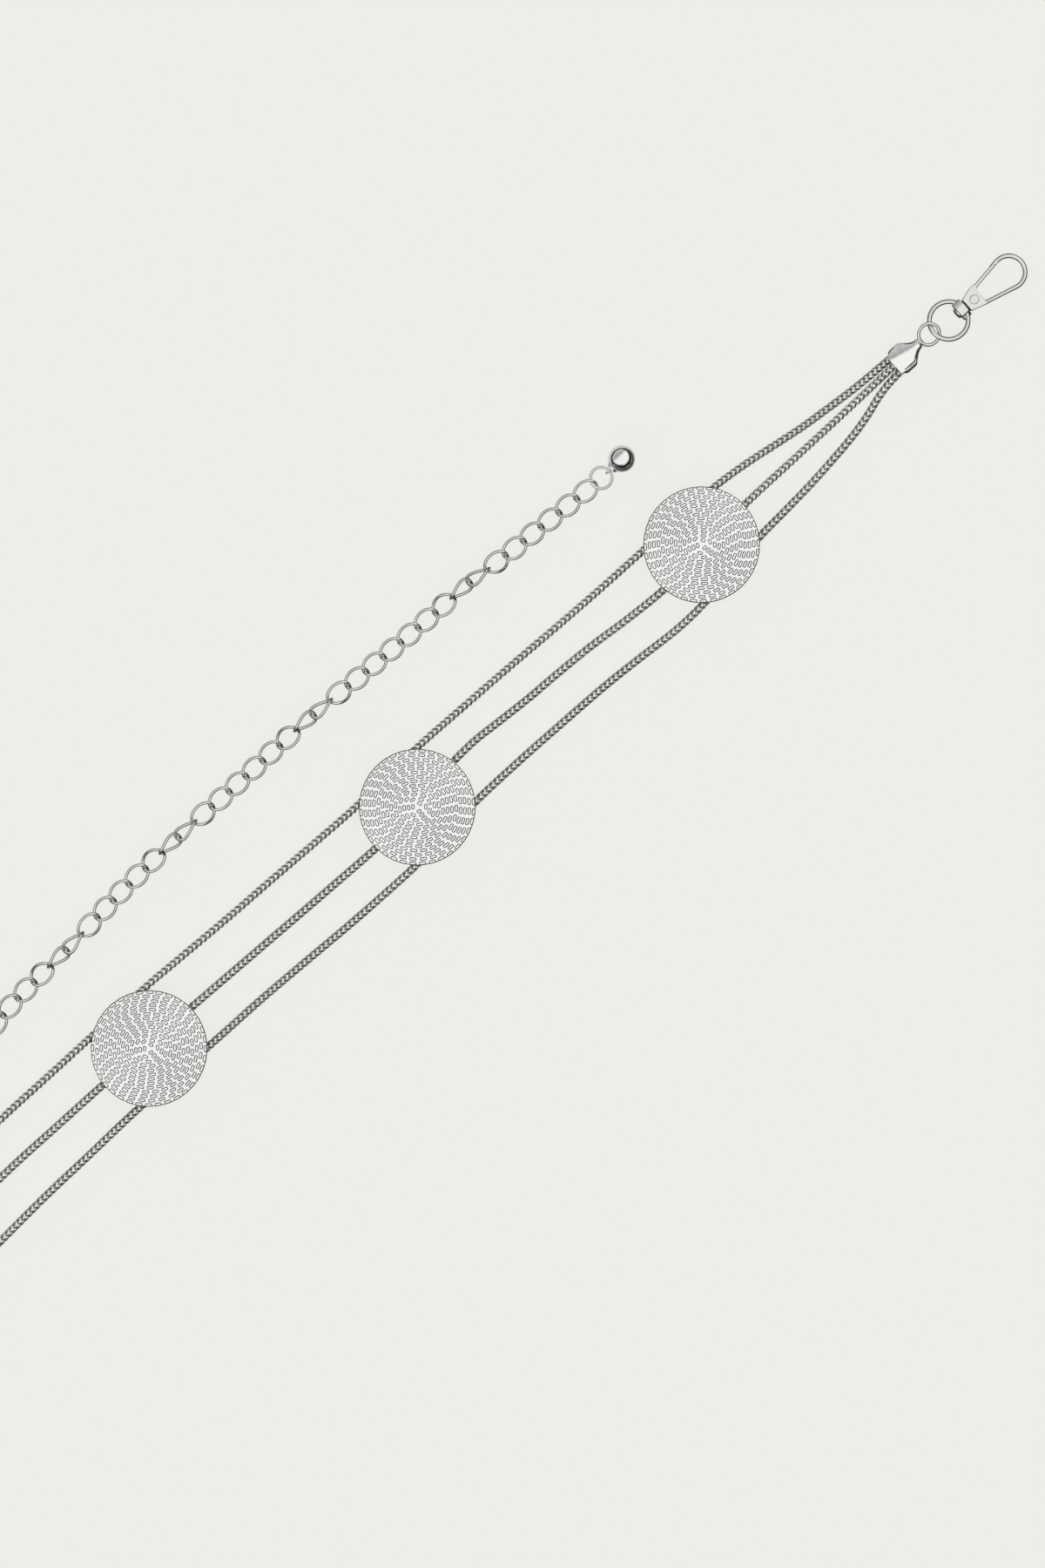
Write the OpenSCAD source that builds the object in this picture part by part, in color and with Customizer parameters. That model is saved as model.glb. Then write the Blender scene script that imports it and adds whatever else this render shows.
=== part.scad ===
// A waist chain. Three braided strands run behind domed discs, between two folded end caps. One cap carries
// a swivel snap hook on a jump ring, and the other a curb-link extender that ends in a ball.
// Millimetres. The belt lies on z = 0 with its middle disc over the origin and its snap hook towards +X.

/* [Strands] */
// Thickness of a strand
strand_d = 2.9; // [2.5:0.1:3.1]

/* [Discs] */
// Diameter of a disc
disc_d = 40; // [35:1:45]
// Thickness of a disc's wall
disc_wall = 1.2; // [0.8:0.1:1.8]
// Height of the dome over its rim
dome_rise = 1.3; // [0.6:0.1:2.6]
// Length of a raised mark in the outer rings
mark_l = 2.3; // [1.7:0.1:2.4]
// Width of a raised mark
mark_w = 1.0; // [0.7:0.05:1.1]
// Height of a raised mark over the dome
mark_h = 0.35; // [0.2:0.05:0.6]
// Length of a staple along its strand
staple_l = 3; // [2:0.5:5]
// Thickness of a staple's bar and legs
staple_wall = 0.8; // [0.6:0.1:1.2]

/* [End caps] */
// Length of a cap from its mouth to its eye
cap_l = 12.5; // [11:0.5:15]
// Width of a cap at its widest
cap_w = 10.1; // [9.9:0.1:12]
// Wall of a cap round the strand ends
cap_wall = 0.6; // [0.4:0.05:0.8]
// Width of a cap's neck
neck_w = 3.1; // [2.6:0.1:3.6]
// Length of strand held inside a cap
cap_grip = 2.6; // [2:0.1:3.4]

/* [Jump rings] */
// Outer diameter of a jump ring
jump_ring_d = 8.7; // [8.2:0.1:9.4]
// Wire of a jump ring
jump_wire = 1.15; // [0.9:0.05:1.3]

/* [Swivel snap hook] */
// Outer diameter of the swivel ring
swivel_ring_d = 15; // [14:0.5:17]
// Wire of the swivel ring
swivel_wire = 1.65; // [1.3:0.05:1.8]
// Length of the swivel's hub along the hook
hub_l = 3.2; // [2.4:0.1:4]
// Width of the hub across the hook
hub_w = 6.9; // [6:0.1:8]
// Height of the hub
hub_h = 3.8; // [3.4:0.1:4.6]
// Diameter of the hook's shank in the hub
shank_d = 2; // [1.6:0.1:2.4]
// Width of the hook's loop
loop_w = 12.9; // [11.5:0.1:14]
// Wire of the loop
loop_wire = 1.6; // [1.3:0.1:1.8]
// Distance from the hub's middle to the tip of the loop
hook_reach = 27.3; // [25.5:0.1:30]
// Thickness of the hook's base plate
plate_t = 3; // [2.6:0.1:3.6]
// Thickness of the gate lever between its cheeks
gate_t = 1.4; // [1:0.1:1.6]
// Diameter of the gate's hinge pin
gate_pin_d = 0.8; // [0.6:0.05:0.9]

/* [Extender] */
// Outer length of a curb link
link_l = 9.9; // [9.4:0.1:10.6]
// Outer width of a curb link
link_w = 7.4; // [6.6:0.1:8]
// Wire of a curb link
link_wire = 0.9; // [0.7:0.05:1]
// Twist of a curb link from its middle to each end
link_twist = 40; // [35:1:45]
// Outer diameter of the round ring at the ball
ball_ring_d = 8.3; // [7.8:0.1:9]
// Diameter of the ball
ball_d = 9.2; // [8:0.1:11]
// Outer diameter of the ball's eye
ball_eye_d = 3.5; // [3.3:0.1:4]

/* [Hidden] */
$fn = 48;

SILVER = [0.80, 0.80, 0.79];
BRIGHT = [0.88, 0.88, 0.87];

// Gap left between pieces that touch on the real belt
slip = 0.1;

// Discs: x, y, heading of the belt under the disc, turn of its pattern
DISCS = [
    [257, 0, 0, 149.5],
    [124, -0.8, 0, 133],
    [0, 0, 0, 17.3],
    [-121.7, -3.2, 8, 70],
    [-171.3, 62.4, 212, 250]
];

// Rings of raised marks from the centre outwards: number of marks, turn of the ring
MARK_RINGS = [
    [3, 0], [6, 7], [9, 8], [12, 12], [15, -1], [17, 6], [20, -1],
    [22, 1], [25, -4], [28, 0], [30, 0], [32, 0], [36, 0]
];

// End caps: x and y of the eye, heading from mouth to eye
CAP_CLASP = [359.9, 0.8, 0];
CAP_EXTENDER = [-74.1, 41.3, -22];

// Routes of the strands between their caps, from the snap hook's end: x and y
ROUTE_UPPER = [
    [338, 4], [330, 4.5], [320, 5.5], [310, 6.6], [300, 8.2], [290, 9.9], [280, 11.2], [270, 11.9], [257, 12],
    [240, 12.1], [220, 12.3], [200, 12.8], [180, 13.5], [160, 14], [140, 14.4], [124, 14.1], [108, 13.5],
    [90, 13.9], [70, 14.5], [50, 15], [30, 15.8], [15, 16.4], [0, 16.5], [-15, 16.4], [-35, 16.4], [-55, 16.4],
    [-80, 15.5], [-105, 12.5], [-126, 10.4], [-146, 5], [-160, 4], [-172, 9], [-180, 20], [-181, 34],
    [-175, 45], [-164, 53], [-152, 58.5], [-138, 58.5], [-120, 53.4], [-102, 47]
];
ROUTE_MIDDLE = [
    [338, 0.75], [320, 0.5], [300, 0.4], [280, 0.3], [268, -0.3], [257, -1.2], [246, -2.1], [235, -2.6],
    [220, -1.6], [205, -0.1], [190, 0.7], [178, 1.1], [165, 2], [154, 2.8], [143, 2.4], [133, 1.4], [124, 0.4],
    [114, -0.8], [104, -1.6], [88, -1.3], [70, -0.8], [50, -0.2], [30, 0.4], [15, 0.8], [0, 1.1], [-15, 1.4],
    [-40, 1.6], [-67, 1.6], [-95, 0], [-124, -2.5], [-145, -6.5], [-163, -4.7], [-177, 4], [-186, 18],
    [-188, 34], [-183, 50], [-170.4, 63], [-153, 69], [-136, 66], [-118, 59], [-100, 51.8]
];
ROUTE_LOWER = [
    [341, -2.6], [336, -3.6], [331, -5.1], [325, -6.6], [318, -7.8], [309, -8.9], [298, -10], [285, -10.8],
    [273, -11.5], [257, -13.4], [246, -15.3], [232, -15.8], [215, -14.5], [200, -13.5], [180, -13], [160, -12.7],
    [141, -12.9], [124, -14.2], [110, -15.3], [95, -15.3], [80, -15], [60, -14.2], [40, -13.5], [20, -13.3],
    [0, -13], [-20, -12.8], [-40, -13.2], [-62, -13.6], [-92, -15], [-122, -16.4], [-140, -18], [-156, -16.5],
    [-170, -10.5], [-182, -1], [-192, 16], [-195, 35], [-191, 54], [-177, 73.6], [-155, 79], [-133, 73],
    [-115, 64.5], [-98, 55.5]
];

// Route of the extender's joints from the ball's ring towards its cap: x and y
ROUTE_EXTENDER = [
    [243.9, 40.3], [232, 41], [216, 42.1], [201, 42.9], [190, 44.3], [180, 44.5], [168, 44.7], [152, 45.3],
    [136, 46], [120, 46.8], [105, 47], [88, 46.9], [73, 47], [57, 47.1], [41, 46.9], [25, 46.2], [10, 44.8],
    [0, 44.2], [-15, 43.8], [-31.5, 42.4], [-42, 39.6], [-52, 36.8], [-60, 36.3]
];

// First link of each pair in which the extender is turned over, counted from the ball
TURNED_LINKS = [7, 16, 24, 31];

// Rings along a strand, and sides of a strand
STRAND_RINGS = 80;
STRAND_SIDES = 8;
// Steps round a link, and sides of its wire
LINK_STEPS = 16;
LINK_SIDES = 5;

// Strand heights: on the floor, in a disc's staple and in a cap, where the middle one rides on the others
staple_lift = staple_wall + slip;
cap_lift = cap_wall + slip;
pile_h = 1.5;
cap_pitch = strand_d - slip / 2;

// Disc sizes
disc_r = disc_d / 2;
disc_z = staple_wall + strand_d + 2 * slip;
mark_root = 0.4;
mark_margin = 0.1;
ring_pitch = (disc_r - mark_w / 2 - mark_margin) / len(MARK_RINGS);
ring_edges = [for (k = [0:len(MARK_RINGS)]) min(disc_r, (k + 0.5) * ring_pitch)];

// Cap sizes
cap_h = 2 * cap_wall + strand_d + pile_h + 2 * slip;
eye_d = jump_wire + 6 * slip;
eye_slot = jump_wire - 2 * slip;
neck_end = 2 * slip + eye_d / 2 + cap_wall - slip;
eye_z = 2.7;
jump_r = (jump_ring_d - jump_wire) / 2;
jump_roll = 22;

// Swivel sizes: the ring is rolled about the hook's axis, and the hook dips until its tip meets the floor
swivel_r = (swivel_ring_d - swivel_wire) / 2;
swivel_roll = -11;
ring_overlap = 2.2;
hub_flat = 2.6;
hub_side = 1.6;
hub_outline = [
    [hub_flat / 2, hub_h / 2], [hub_w / 2, hub_side / 2], [hub_w / 2, -hub_side / 2], [hub_flat / 2, -hub_h / 2],
    [-hub_flat / 2, -hub_h / 2], [-hub_w / 2, -hub_side / 2], [-hub_w / 2, hub_side / 2], [-hub_flat / 2, hub_h / 2]
];
hub_rest = max([for (p = hub_outline) abs(p.x * sin(swivel_roll) + p.y * cos(swivel_roll))]);
hook_dip = asin((hub_rest - loop_wire / 2) / hook_reach);
swivel_at = [-5.8, 0.3];
hub_pos = [
    CAP_CLASP.x + 2 * jump_r - ring_overlap - swivel_at.x + swivel_r,
    -0.55,
    hub_rest * cos(hook_dip) + hub_l / 2 * sin(hook_dip)
];

// Hook outline in its own plane: u runs from the hub's middle to the tip, v across
loop_r = (loop_w - loop_wire) / 2;
loop_at = [hook_reach - loop_w / 2, -1.35];
plate_u = hub_l / 2 + 0.6;
plate_front = 8.05;
lug_front = 8.9;
gate_at = [7.9, 2.7];
nose_offset = 0.05;
gate_turn = atan2(loop_at.y - gate_at.y, loop_at.x - gate_at.x)
    + asin((loop_r - nose_offset) / norm(loop_at - gate_at));
gate_half = 0.65;
gate_eye_r = 1;
arm_d = 1.4;
arm_from = [7, -3.45];
arm_reach = sqrt(pow(norm(loop_at - arm_from), 2) - loop_r * loop_r);
arm_turn = atan2(loop_at.y - arm_from.y, loop_at.x - arm_from.x) - atan2(loop_r, arm_reach);
rivet_d = 3.4;
rivet_h = 0.35;
rivet_at = [5.4, -0.25];
head_d = 3.7;
head_l = 0.8;

// Middle of the loop as the gate sees it, along and across the gate
loop_from_gate = [
    (loop_at - gate_at) * [cos(gate_turn), sin(gate_turn)],
    (loop_at - gate_at) * [-sin(gate_turn), cos(gate_turn)]
];
nose_l = 2.7;
nose_cut = 2.5;
nose_lip = 0.22;
nose_gap = 0.25;
nose_top = loop_from_gate.y + loop_w / 2;
nose_low = loop_from_gate.y + loop_r - loop_wire / 2;
nose_from = loop_from_gate.x - nose_l;
// Where the nose's slanted cut lies along the gate, at a place across it
function nose_cut_at(v) = nose_from + nose_cut * (nose_top - nose_lip - v) / (nose_top - nose_lip - nose_low);

// Link sizes
link_a = (link_l - link_wire) / 2;
link_b = (link_w - link_wire) / 2;
link_square = 2.3;
link_pitch = link_l - 2 * link_wire - slip;
link_hook = 2 * link_a - link_pitch;
link_rest = link_low([-link_twist, link_twist]);
jump_hold = (jump_wire + link_wire) / 2 + slip - link_hook / 2;
ring_hold = link_wire + slip - link_hook / 2;

// Ball end
ball_ring_r = (ball_ring_d - link_wire) / 2;
ball_eye_wire = 0.8;
ball_eye_r = (ball_eye_d - ball_eye_wire) / 2;
ball_dip = 20;
flange_d = 4.3;
flange_t = 0.6;
eye_from_ball = ball_d / 2 + flange_t / 2 + ball_eye_r;

// Smooth curve through a list of points, after Catmull and Rom
function curve_point(a, b, c, d, t) =
    0.5 * (2 * b + (c - a) * t + (2 * a - 5 * b + 4 * c - d) * t * t + (3 * b - a - 3 * c + d) * t * t * t);
function curve(p, steps = 8) = [
    for (i = [0:len(p) - 2]) for (k = [0:steps - 1])
        curve_point(p[max(i - 1, 0)], p[i], p[i + 1], p[min(i + 2, len(p) - 1)], k / steps),
    p[len(p) - 1]
];
function run_lengths(p) = [
    for (i = 0, s = 0; i < len(p); s = s + (i + 1 < len(p) ? norm(p[i + 1] - p[i]) : 0), i = i + 1) s
];
// Points at equal steps of length along a curve
function even_points(p, count) =
    let (s = run_lengths(p), total = s[len(s) - 1])
    [for (i = [0:count - 1]) along(p, s, total * i / (count - 1))];
function along(p, s, at) = [for (axis = [0:2]) lookup(at, [for (i = [0:len(p) - 1]) [s[i], p[i][axis]]])];
function unit(v) = v / norm(v);
function smooth(t) = let (c = min(1, max(0, t))) c * c * (3 - 2 * c);

// A point given in a cap's own frame, whose u runs from its mouth to its eye
function cap_point(cap, u, v, z) =
    [cap.x + u * cos(cap[2]) - v * sin(cap[2]), cap.y + u * sin(cap[2]) + v * cos(cap[2]), z];

// A strand's whole run: side is 1, 0 or -1 across the caps, and the middle one rides higher there.
// It lies on the floor between the caps, but rises into the staples under each disc.
function strand_path(route, side) =
    let (
        cap_rise = cap_lift + (side == 0 ? pile_h : 0),
        z = strand_d / 2 + cap_rise,
        v = side * cap_pitch,
        inner = -cap_l + cap_grip,
        mouths = [cap_point(CAP_CLASP, -cap_l - 0.5, v, 0), cap_point(CAP_EXTENDER, -cap_l - 0.5, -v, 0)],
        floor_run = concat([mouths[0]], [for (p = route) [p.x, p.y, 0]], [mouths[1]])
    )
    concat(
        [cap_point(CAP_CLASP, inner, v, z)],
        [for (p = even_points(curve(floor_run), STRAND_RINGS - 2))
            [p.x, p.y, strand_d / 2 + max(strand_rise(p), cap_rise * near_mouth(p, mouths))]],
        [cap_point(CAP_EXTENDER, inner, -v, z)]
    );
function strand_rise(p) =
    staple_lift * max([for (d = DISCS) smooth((disc_r + 18 - norm([d.x - p.x, d.y - p.y])) / 16)]);
function near_mouth(p, mouths) = max([for (m = mouths) smooth(1 - norm(p - m) / 17)]);

PATHS = [strand_path(ROUTE_UPPER, 1), strand_path(ROUTE_MIDDLE, 0), strand_path(ROUTE_LOWER, -1)];

// Where a strand crosses the middle of a disc: x, y and heading
function crossing(path, disc) =
    let (
        ahead = [for (p = path) (p.x - disc.x) * cos(disc[2]) + (p.y - disc.y) * sin(disc[2])],
        near = [for (p = path) norm([p.x - disc.x, p.y - disc.y]) < disc_d],
        hits = [for (i = [0:len(path) - 2]) if (near[i] && ahead[i] * ahead[i + 1] <= 0) i],
        i = hits[0],
        t = ahead[i] / (ahead[i] - ahead[i + 1]),
        p = path[i] + t * (path[i + 1] - path[i])
    )
    [p.x, p.y, atan2(path[i + 1].y - path[i].y, path[i + 1].x - path[i].x)];

// A tube of flat sides swept along a list of points
module tube(path, d, sides) {
    n = len(path);
    r = d / 2 / cos(180 / sides);
    points = [
        for (i = [0:n - 1])
            let (
                t = unit(path[min(i + 1, n - 1)] - path[max(i - 1, 0)]),
                side = unit(cross([0, 0, 1], t)),
                up = cross(t, side)
            )
            for (k = [0:sides - 1])
                let (a = (k + 0.5) * 360 / sides)
                path[i] + r * (cos(a) * side + sin(a) * up)
    ];
    walls = [
        for (i = [0:n - 2]) for (k = [0:sides - 1])
            let (a = i * sides + k, b = i * sides + (k + 1) % sides)
            each [[a, b, b + sides], [a, b + sides, a + sides]]
    ];
    start = [for (k = [sides - 1:-1:0]) k];
    finish = [for (k = [0:sides - 1]) (n - 1) * sides + k];
    polyhedron(points, concat(walls, [start, finish]), convexity = 8);
}

// Height of a disc's top over the underside of its rim, at a radius
function dome(r) = disc_wall + dome_rise * (1 - pow(r / disc_r, 2));

module disc_plate() {
    top = [for (e = ring_edges) [e, dome(e)]];
    under = [for (share = [1, 0.75, 0.5, 0.25]) [share * disc_r, dome(share * disc_r) - disc_wall]];
    rotate_extrude()
        polygon(concat([[0, top[0].y]], top, under, [[0, under[3].y]]));
}

module raised_marks() {
    for (k = [1:len(MARK_RINGS)]) {
        marks = MARK_RINGS[k - 1];
        inner = ring_edges[k - 1];
        outer = ring_edges[k];
        slope = atan2(dome(inner) - dome(outer), outer - inner);
        long = mark_l * min(1, 0.55 + 0.075 * k);
        for (i = [0:marks[0] - 1])
            rotate([0, 0, marks[1] + i * 360 / marks[0]])
                translate([k * ring_pitch, 0, (dome(inner) + dome(outer)) / 2])
                    rotate([0, slope, 0])
                        translate([0, 0, (mark_h - mark_root) / 2])
                            cube([mark_w, long, mark_h + mark_root], center = true);
    }
}

// A block with a square tunnel in which a strand runs, from the floor to the underside of the dome
module staple(top) {
    tunnel = strand_d + 2 * slip;
    difference() {
        translate([-staple_l / 2, -tunnel / 2 - staple_wall, 0])
            cube([staple_l, tunnel + 2 * staple_wall, top]);
        translate([-staple_l, -tunnel / 2, staple_wall])
            cube([2 * staple_l, tunnel, tunnel]);
    }
}

module disc(number) {
    d = DISCS[number - 1];
    color(BRIGHT) union() {
        translate([d.x, d.y, disc_z]) rotate([0, 0, d[3]]) {
            disc_plate();
            raised_marks();
        }
        for (path = PATHS) {
            at = crossing(path, d);
            r = norm([at.x - d.x, at.y - d.y]);
            translate([at.x, at.y, 0]) rotate([0, 0, at[2]])
                staple(disc_z + dome(r) - disc_wall / 2);
        }
    }
}

module disc_1() { disc(1); }
module disc_2() { disc(2); }
module disc_3() { disc(3); }
module disc_4() { disc(4); }
module disc_5() { disc(5); }

module strand_upper() { color(SILVER) tube(PATHS[0], strand_d, STRAND_SIDES); }
module strand_middle() { color(SILVER) tube(PATHS[1], strand_d, STRAND_SIDES); }
module strand_lower() { color(SILVER) tube(PATHS[2], strand_d, STRAND_SIDES); }

// Half of a cap's plan outline: share of its length from the eye, share of its half width
CAP_PLAN = [[-1, 0.68], [-0.91, 0.82], [-0.84, 1], [-0.5, 1], [-0.4, 0.76], [-0.31, 0.57], [-0.2, 0.38]];

module cap_plan() {
    side = [for (p = CAP_PLAN) [p[0] * cap_l, p[1] * cap_w / 2]];
    half = concat(side, [[-1.2, neck_w / 2], [neck_end, neck_w / 2]]);
    far = [for (i = [len(half) - 1:-1:0]) [half[i].x, -half[i].y]];
    polygon(concat(half, far));
}

// Side view of a cap, along u and z: deep at the strands and low at the eye
module cap_side() {
    low = cap_wall;
    high = eye_z + eye_d / 2 + cap_wall;
    polygon([
        [-cap_l, 0], [-0.5 * cap_l, 0], [-1.5, low], [neck_end - 0.4, low], [neck_end, low + 0.4],
        [neck_end, high - 0.4], [neck_end - 0.4, high], [-1.5, high], [-0.5 * cap_l, cap_h], [-cap_l, cap_h]
    ]);
}

module end_cap(cap) {
    hollow = cap_h - 2 * cap_wall;
    deep = cap_grip + 3 * slip;
    color(BRIGHT) translate([cap.x, cap.y, 0]) rotate([0, 0, cap[2]]) difference() {
        intersection() {
            linear_extrude(cap_h + 1) cap_plan();
            rotate([90, 0, 0]) translate([0, 0, -cap_w]) linear_extrude(2 * cap_w) cap_side();
        }
        translate([-cap_l - 1, -cap_pitch - strand_d / 2 - slip, cap_wall])
            cube([deep + 1, 2 * cap_pitch + strand_d + 2 * slip, hollow]);
        translate([2 * slip, 0, eye_z]) rotate([jump_roll, 0, 0]) {
            rotate([90, 0, 0]) cylinder(d = eye_d, h = 3 * neck_w, center = true);
            translate([-eye_slot / 2, -neck_w, 0]) cube([eye_slot, 2 * neck_w, cap_h]);
        }
    }
}

module end_cap_clasp() { end_cap(CAP_CLASP); }
module end_cap_extender() { end_cap(CAP_EXTENDER); }

module wire_ring(r, wire) { rotate_extrude() translate([r, 0]) circle(d = wire); }

module jump_ring(cap) {
    color(BRIGHT) translate(cap_point(cap, jump_r, 0, eye_z)) rotate([0, 0, cap[2]])
        rotate([jump_roll, 0, 0]) wire_ring(jump_r, jump_wire);
}

module jump_ring_clasp() { jump_ring(CAP_CLASP); }
module jump_ring_extender() { jump_ring(CAP_EXTENDER); }

// Puts what is drawn in the hook's own frame in its place
module on_hook() { translate(hub_pos) rotate([0, hook_dip, 0]) children(); }

// Turns a z-standing shape so that it runs along u
module along_u() { rotate([0, 90, 0]) rotate([0, 0, 90]) children(); }

module swivel_eye() {
    bore = shank_d + 2 * slip;
    color(BRIGHT) on_hook() rotate([swivel_roll, 0, 0]) difference() {
        union() {
            translate([swivel_at.x, swivel_at.y, 0]) wire_ring(swivel_r, swivel_wire);
            translate([-hub_l / 2, 0, 0]) along_u() linear_extrude(hub_l) polygon(hub_outline);
        }
        translate([-hub_l, 0, 0]) along_u() cylinder(d = bore, h = 2 * hub_l);
    }
}

// Puts what is drawn along the gate in the hook's own frame
module on_gate() { translate([gate_at.x, gate_at.y, 0]) rotate([0, 0, gate_turn]) children(); }

module flat_bar(thick) { translate([0, 0, -thick / 2]) linear_extrude(thick) children(); }

module base_plate() {
    flat_bar(plate_t) polygon([
        [plate_u, 2.35], [6.6, 3.6], [lug_front, 3.9], [lug_front, 1.95], [plate_front, 1.75],
        [plate_front, -4.4], [plate_u, -2.55]
    ]);
}

module rivets() {
    translate([rivet_at.x, rivet_at.y, -plate_t / 2 - rivet_h])
        cylinder(d = rivet_d, h = plate_t + 2 * rivet_h);
}

module shank() {
    inner = -hub_l / 2 - 1.5 * slip;
    translate([inner - head_l, 0, 0]) along_u() cylinder(d = head_d, h = head_l);
    translate([inner - head_l / 2, 0, 0]) along_u() cylinder(d = shank_d, h = plate_u + 1 - inner + head_l / 2);
}

module loop_and_arm() {
    translate([loop_at.x, loop_at.y, 0]) rotate([0, 0, arm_turn - 90])
        rotate_extrude(angle = 180 + gate_turn - arm_turn) translate([loop_r, 0]) circle(d = loop_wire);
    translate([arm_from.x, arm_from.y, 0]) rotate([0, 0, arm_turn])
        along_u() cylinder(d = arm_d, h = arm_reach + 0.3);
}

// The loop's end, cut away below where the gate's tongue rests
module nose() {
    on_gate() flat_bar(loop_wire) polygon([
        [nose_from, nose_top - nose_lip], [nose_from, nose_top], [loop_from_gate.x + slip, nose_top],
        [loop_from_gate.x + slip, nose_low], [nose_from + nose_cut, nose_low]
    ]);
}

// Room between the plate's cheeks in which the gate turns
module gate_slot() {
    on_gate() {
        cylinder(r = gate_eye_r + 2 * slip, h = gate_t + 2 * slip, center = true);
        translate([0, -1.9, -gate_t / 2 - slip]) cube([4, 4, gate_t + 2 * slip]);
    }
}

module hook_frame() {
    color(BRIGHT) on_hook() union() {
        difference() {
            union() {
                base_plate();
                rivets();
            }
            gate_slot();
        }
        shank();
        loop_and_arm();
        nose();
        translate([gate_at.x, gate_at.y, 0]) cylinder(d = gate_pin_d, h = gate_t + 4 * slip, center = true);
    }
}

module gate() {
    tip = nose_cut_at(slip - gate_half) - nose_gap;
    color(BRIGHT) on_hook() on_gate() difference() {
        union() {
            cylinder(r = gate_eye_r, h = gate_t, center = true);
            flat_bar(gate_t) polygon([
                [0, gate_half], [nose_cut_at(gate_half) - nose_gap, gate_half], [tip, slip - gate_half],
                [tip, -gate_half], [0, -gate_half]
            ]);
        }
        cylinder(d = gate_pin_d + 1.5 * slip, h = 2 * gate_t, center = true);
    }
}

// A point on a link's middle line: an oval of square shoulders, rolled about x from one end to the other
function link_point(t, roll_left, roll_right) =
    let (
        x = link_a * sign(cos(t)) * pow(abs(cos(t)), 2 / link_square),
        y = link_b * sign(sin(t)) * pow(abs(sin(t)), 2 / link_square),
        roll = roll_left + (roll_right - roll_left) * (x / link_a + 1) / 2
    )
    [x, y * cos(roll), y * sin(roll)];

module link(rolls) {
    points = [
        for (i = [0:LINK_STEPS - 1])
            let (
                t = i * 360 / LINK_STEPS,
                at = link_point(t, rolls[0], rolls[1]),
                run = unit(link_point(t + 4, rolls[0], rolls[1]) - link_point(t - 4, rolls[0], rolls[1])),
                out = unit(cross(run, [0, -sin(mean(rolls)), cos(mean(rolls))])),
                up = cross(out, run)
            )
            for (k = [0:LINK_SIDES - 1])
                let (a = (k + 0.5) * 360 / LINK_SIDES)
                at + link_wire / 2 * (cos(a) * out + sin(a) * up)
    ];
    faces = [
        for (i = [0:LINK_STEPS - 1]) for (k = [0:LINK_SIDES - 1])
            let (
                j = (i + 1) % LINK_STEPS,
                m = (k + 1) % LINK_SIDES,
                a = i * LINK_SIDES + k,
                b = i * LINK_SIDES + m,
                c = j * LINK_SIDES + m,
                d = j * LINK_SIDES + k
            )
            each [[a, d, c], [a, c, b]]
    ];
    polyhedron(points, faces, convexity = 6);
}

function mean(v) = (v[0] + v[1]) / 2;

// Roll of a link at its clasp end and its ball end: plain, or one of a pair that turns the chain over
function link_rolls(number) =
    [for (first = TURNED_LINKS) if (number == first) 1] != [] ? [-30, -90] :
    [for (first = TURNED_LINKS) if (number == first + 1) 1] != [] ? [90, 30] :
    [-link_twist, link_twist];

extender_end = cap_point(CAP_EXTENDER, 2 * jump_r - jump_hold, 0, eye_z);
extender_curve = curve(concat([for (p = ROUTE_EXTENDER) [p.x, p.y, 0]], [[extender_end.x, extender_end.y, 0]]));
extender_runs = run_lengths(extender_curve);
extender_length = extender_runs[len(extender_runs) - 1];
link_count = ceil(extender_length / link_pitch);
link_step = extender_length / link_count;

// How far a link reaches below its own middle line
function link_low(rolls) =
    link_wire / 2 - min([for (t = [0:5:355]) link_point(t, rolls[0], rolls[1]).z]);
// The joint after a link: as high as the links on both sides need to lie on the floor
function link_joint(i) =
    let (p = along(extender_curve, extender_runs, i * link_step))
    [p.x, p.y, i == link_count ? extender_end.z : max(link_low(link_rolls(max(i, 1))), link_low(link_rolls(i + 1)))];

module extender_chain() {
    color(SILVER) for (i = [1:link_count]) {
        ball_side = link_joint(i - 1);
        far_side = link_joint(i);
        run = ball_side - far_side;
        translate((ball_side + far_side) / 2)
            rotate([0, -asin(run.z / norm(run)), atan2(run.y, run.x)])
                link(link_rolls(i));
    }
}

// The round ring rises from the last link to the ball's eye
ring_tilt = 6;
ring_from = [ROUTE_EXTENDER[0].x - ring_hold, ROUTE_EXTENDER[0].y, link_rest];
ring_mid = ring_from + ball_ring_r * [cos(ring_tilt), 0, sin(ring_tilt)];
ring_far = ring_from + 2 * ball_ring_r * [cos(ring_tilt), 0, sin(ring_tilt)];

module ball_ring() {
    color(SILVER) translate(ring_mid) rotate([0, -ring_tilt, 0]) wire_ring(ball_ring_r, link_wire);
}

module ball_drop() {
    middle = [ring_far.x + eye_from_ball * cos(ball_dip), ROUTE_EXTENDER[0].y, ball_d / 2];
    color(BRIGHT) translate(middle) rotate([0, -ball_dip, 0]) union() {
        sphere(d = ball_d);
        translate([-ball_d / 2 - flange_t / 2, 0, 0]) along_u() cylinder(d = flange_d, h = flange_t + 0.5);
        translate([-eye_from_ball, 0, 0]) rotate([90, 0, 0]) wire_ring(ball_eye_r, ball_eye_wire);
    }
}

disc_1();
disc_2();
disc_3();
disc_4();
disc_5();
strand_upper();
strand_middle();
strand_lower();
end_cap_clasp();
end_cap_extender();
jump_ring_clasp();
jump_ring_extender();
swivel_eye();
hook_frame();
gate();
extender_chain();
ball_ring();
ball_drop();
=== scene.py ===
"""A waist chain: three braided strands behind domed discs, folded end caps, a swivel snap hook and a
curb-link extender with a ball. Lengths are in millimetres until a mesh is made, and angles in degrees."""

import math

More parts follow.
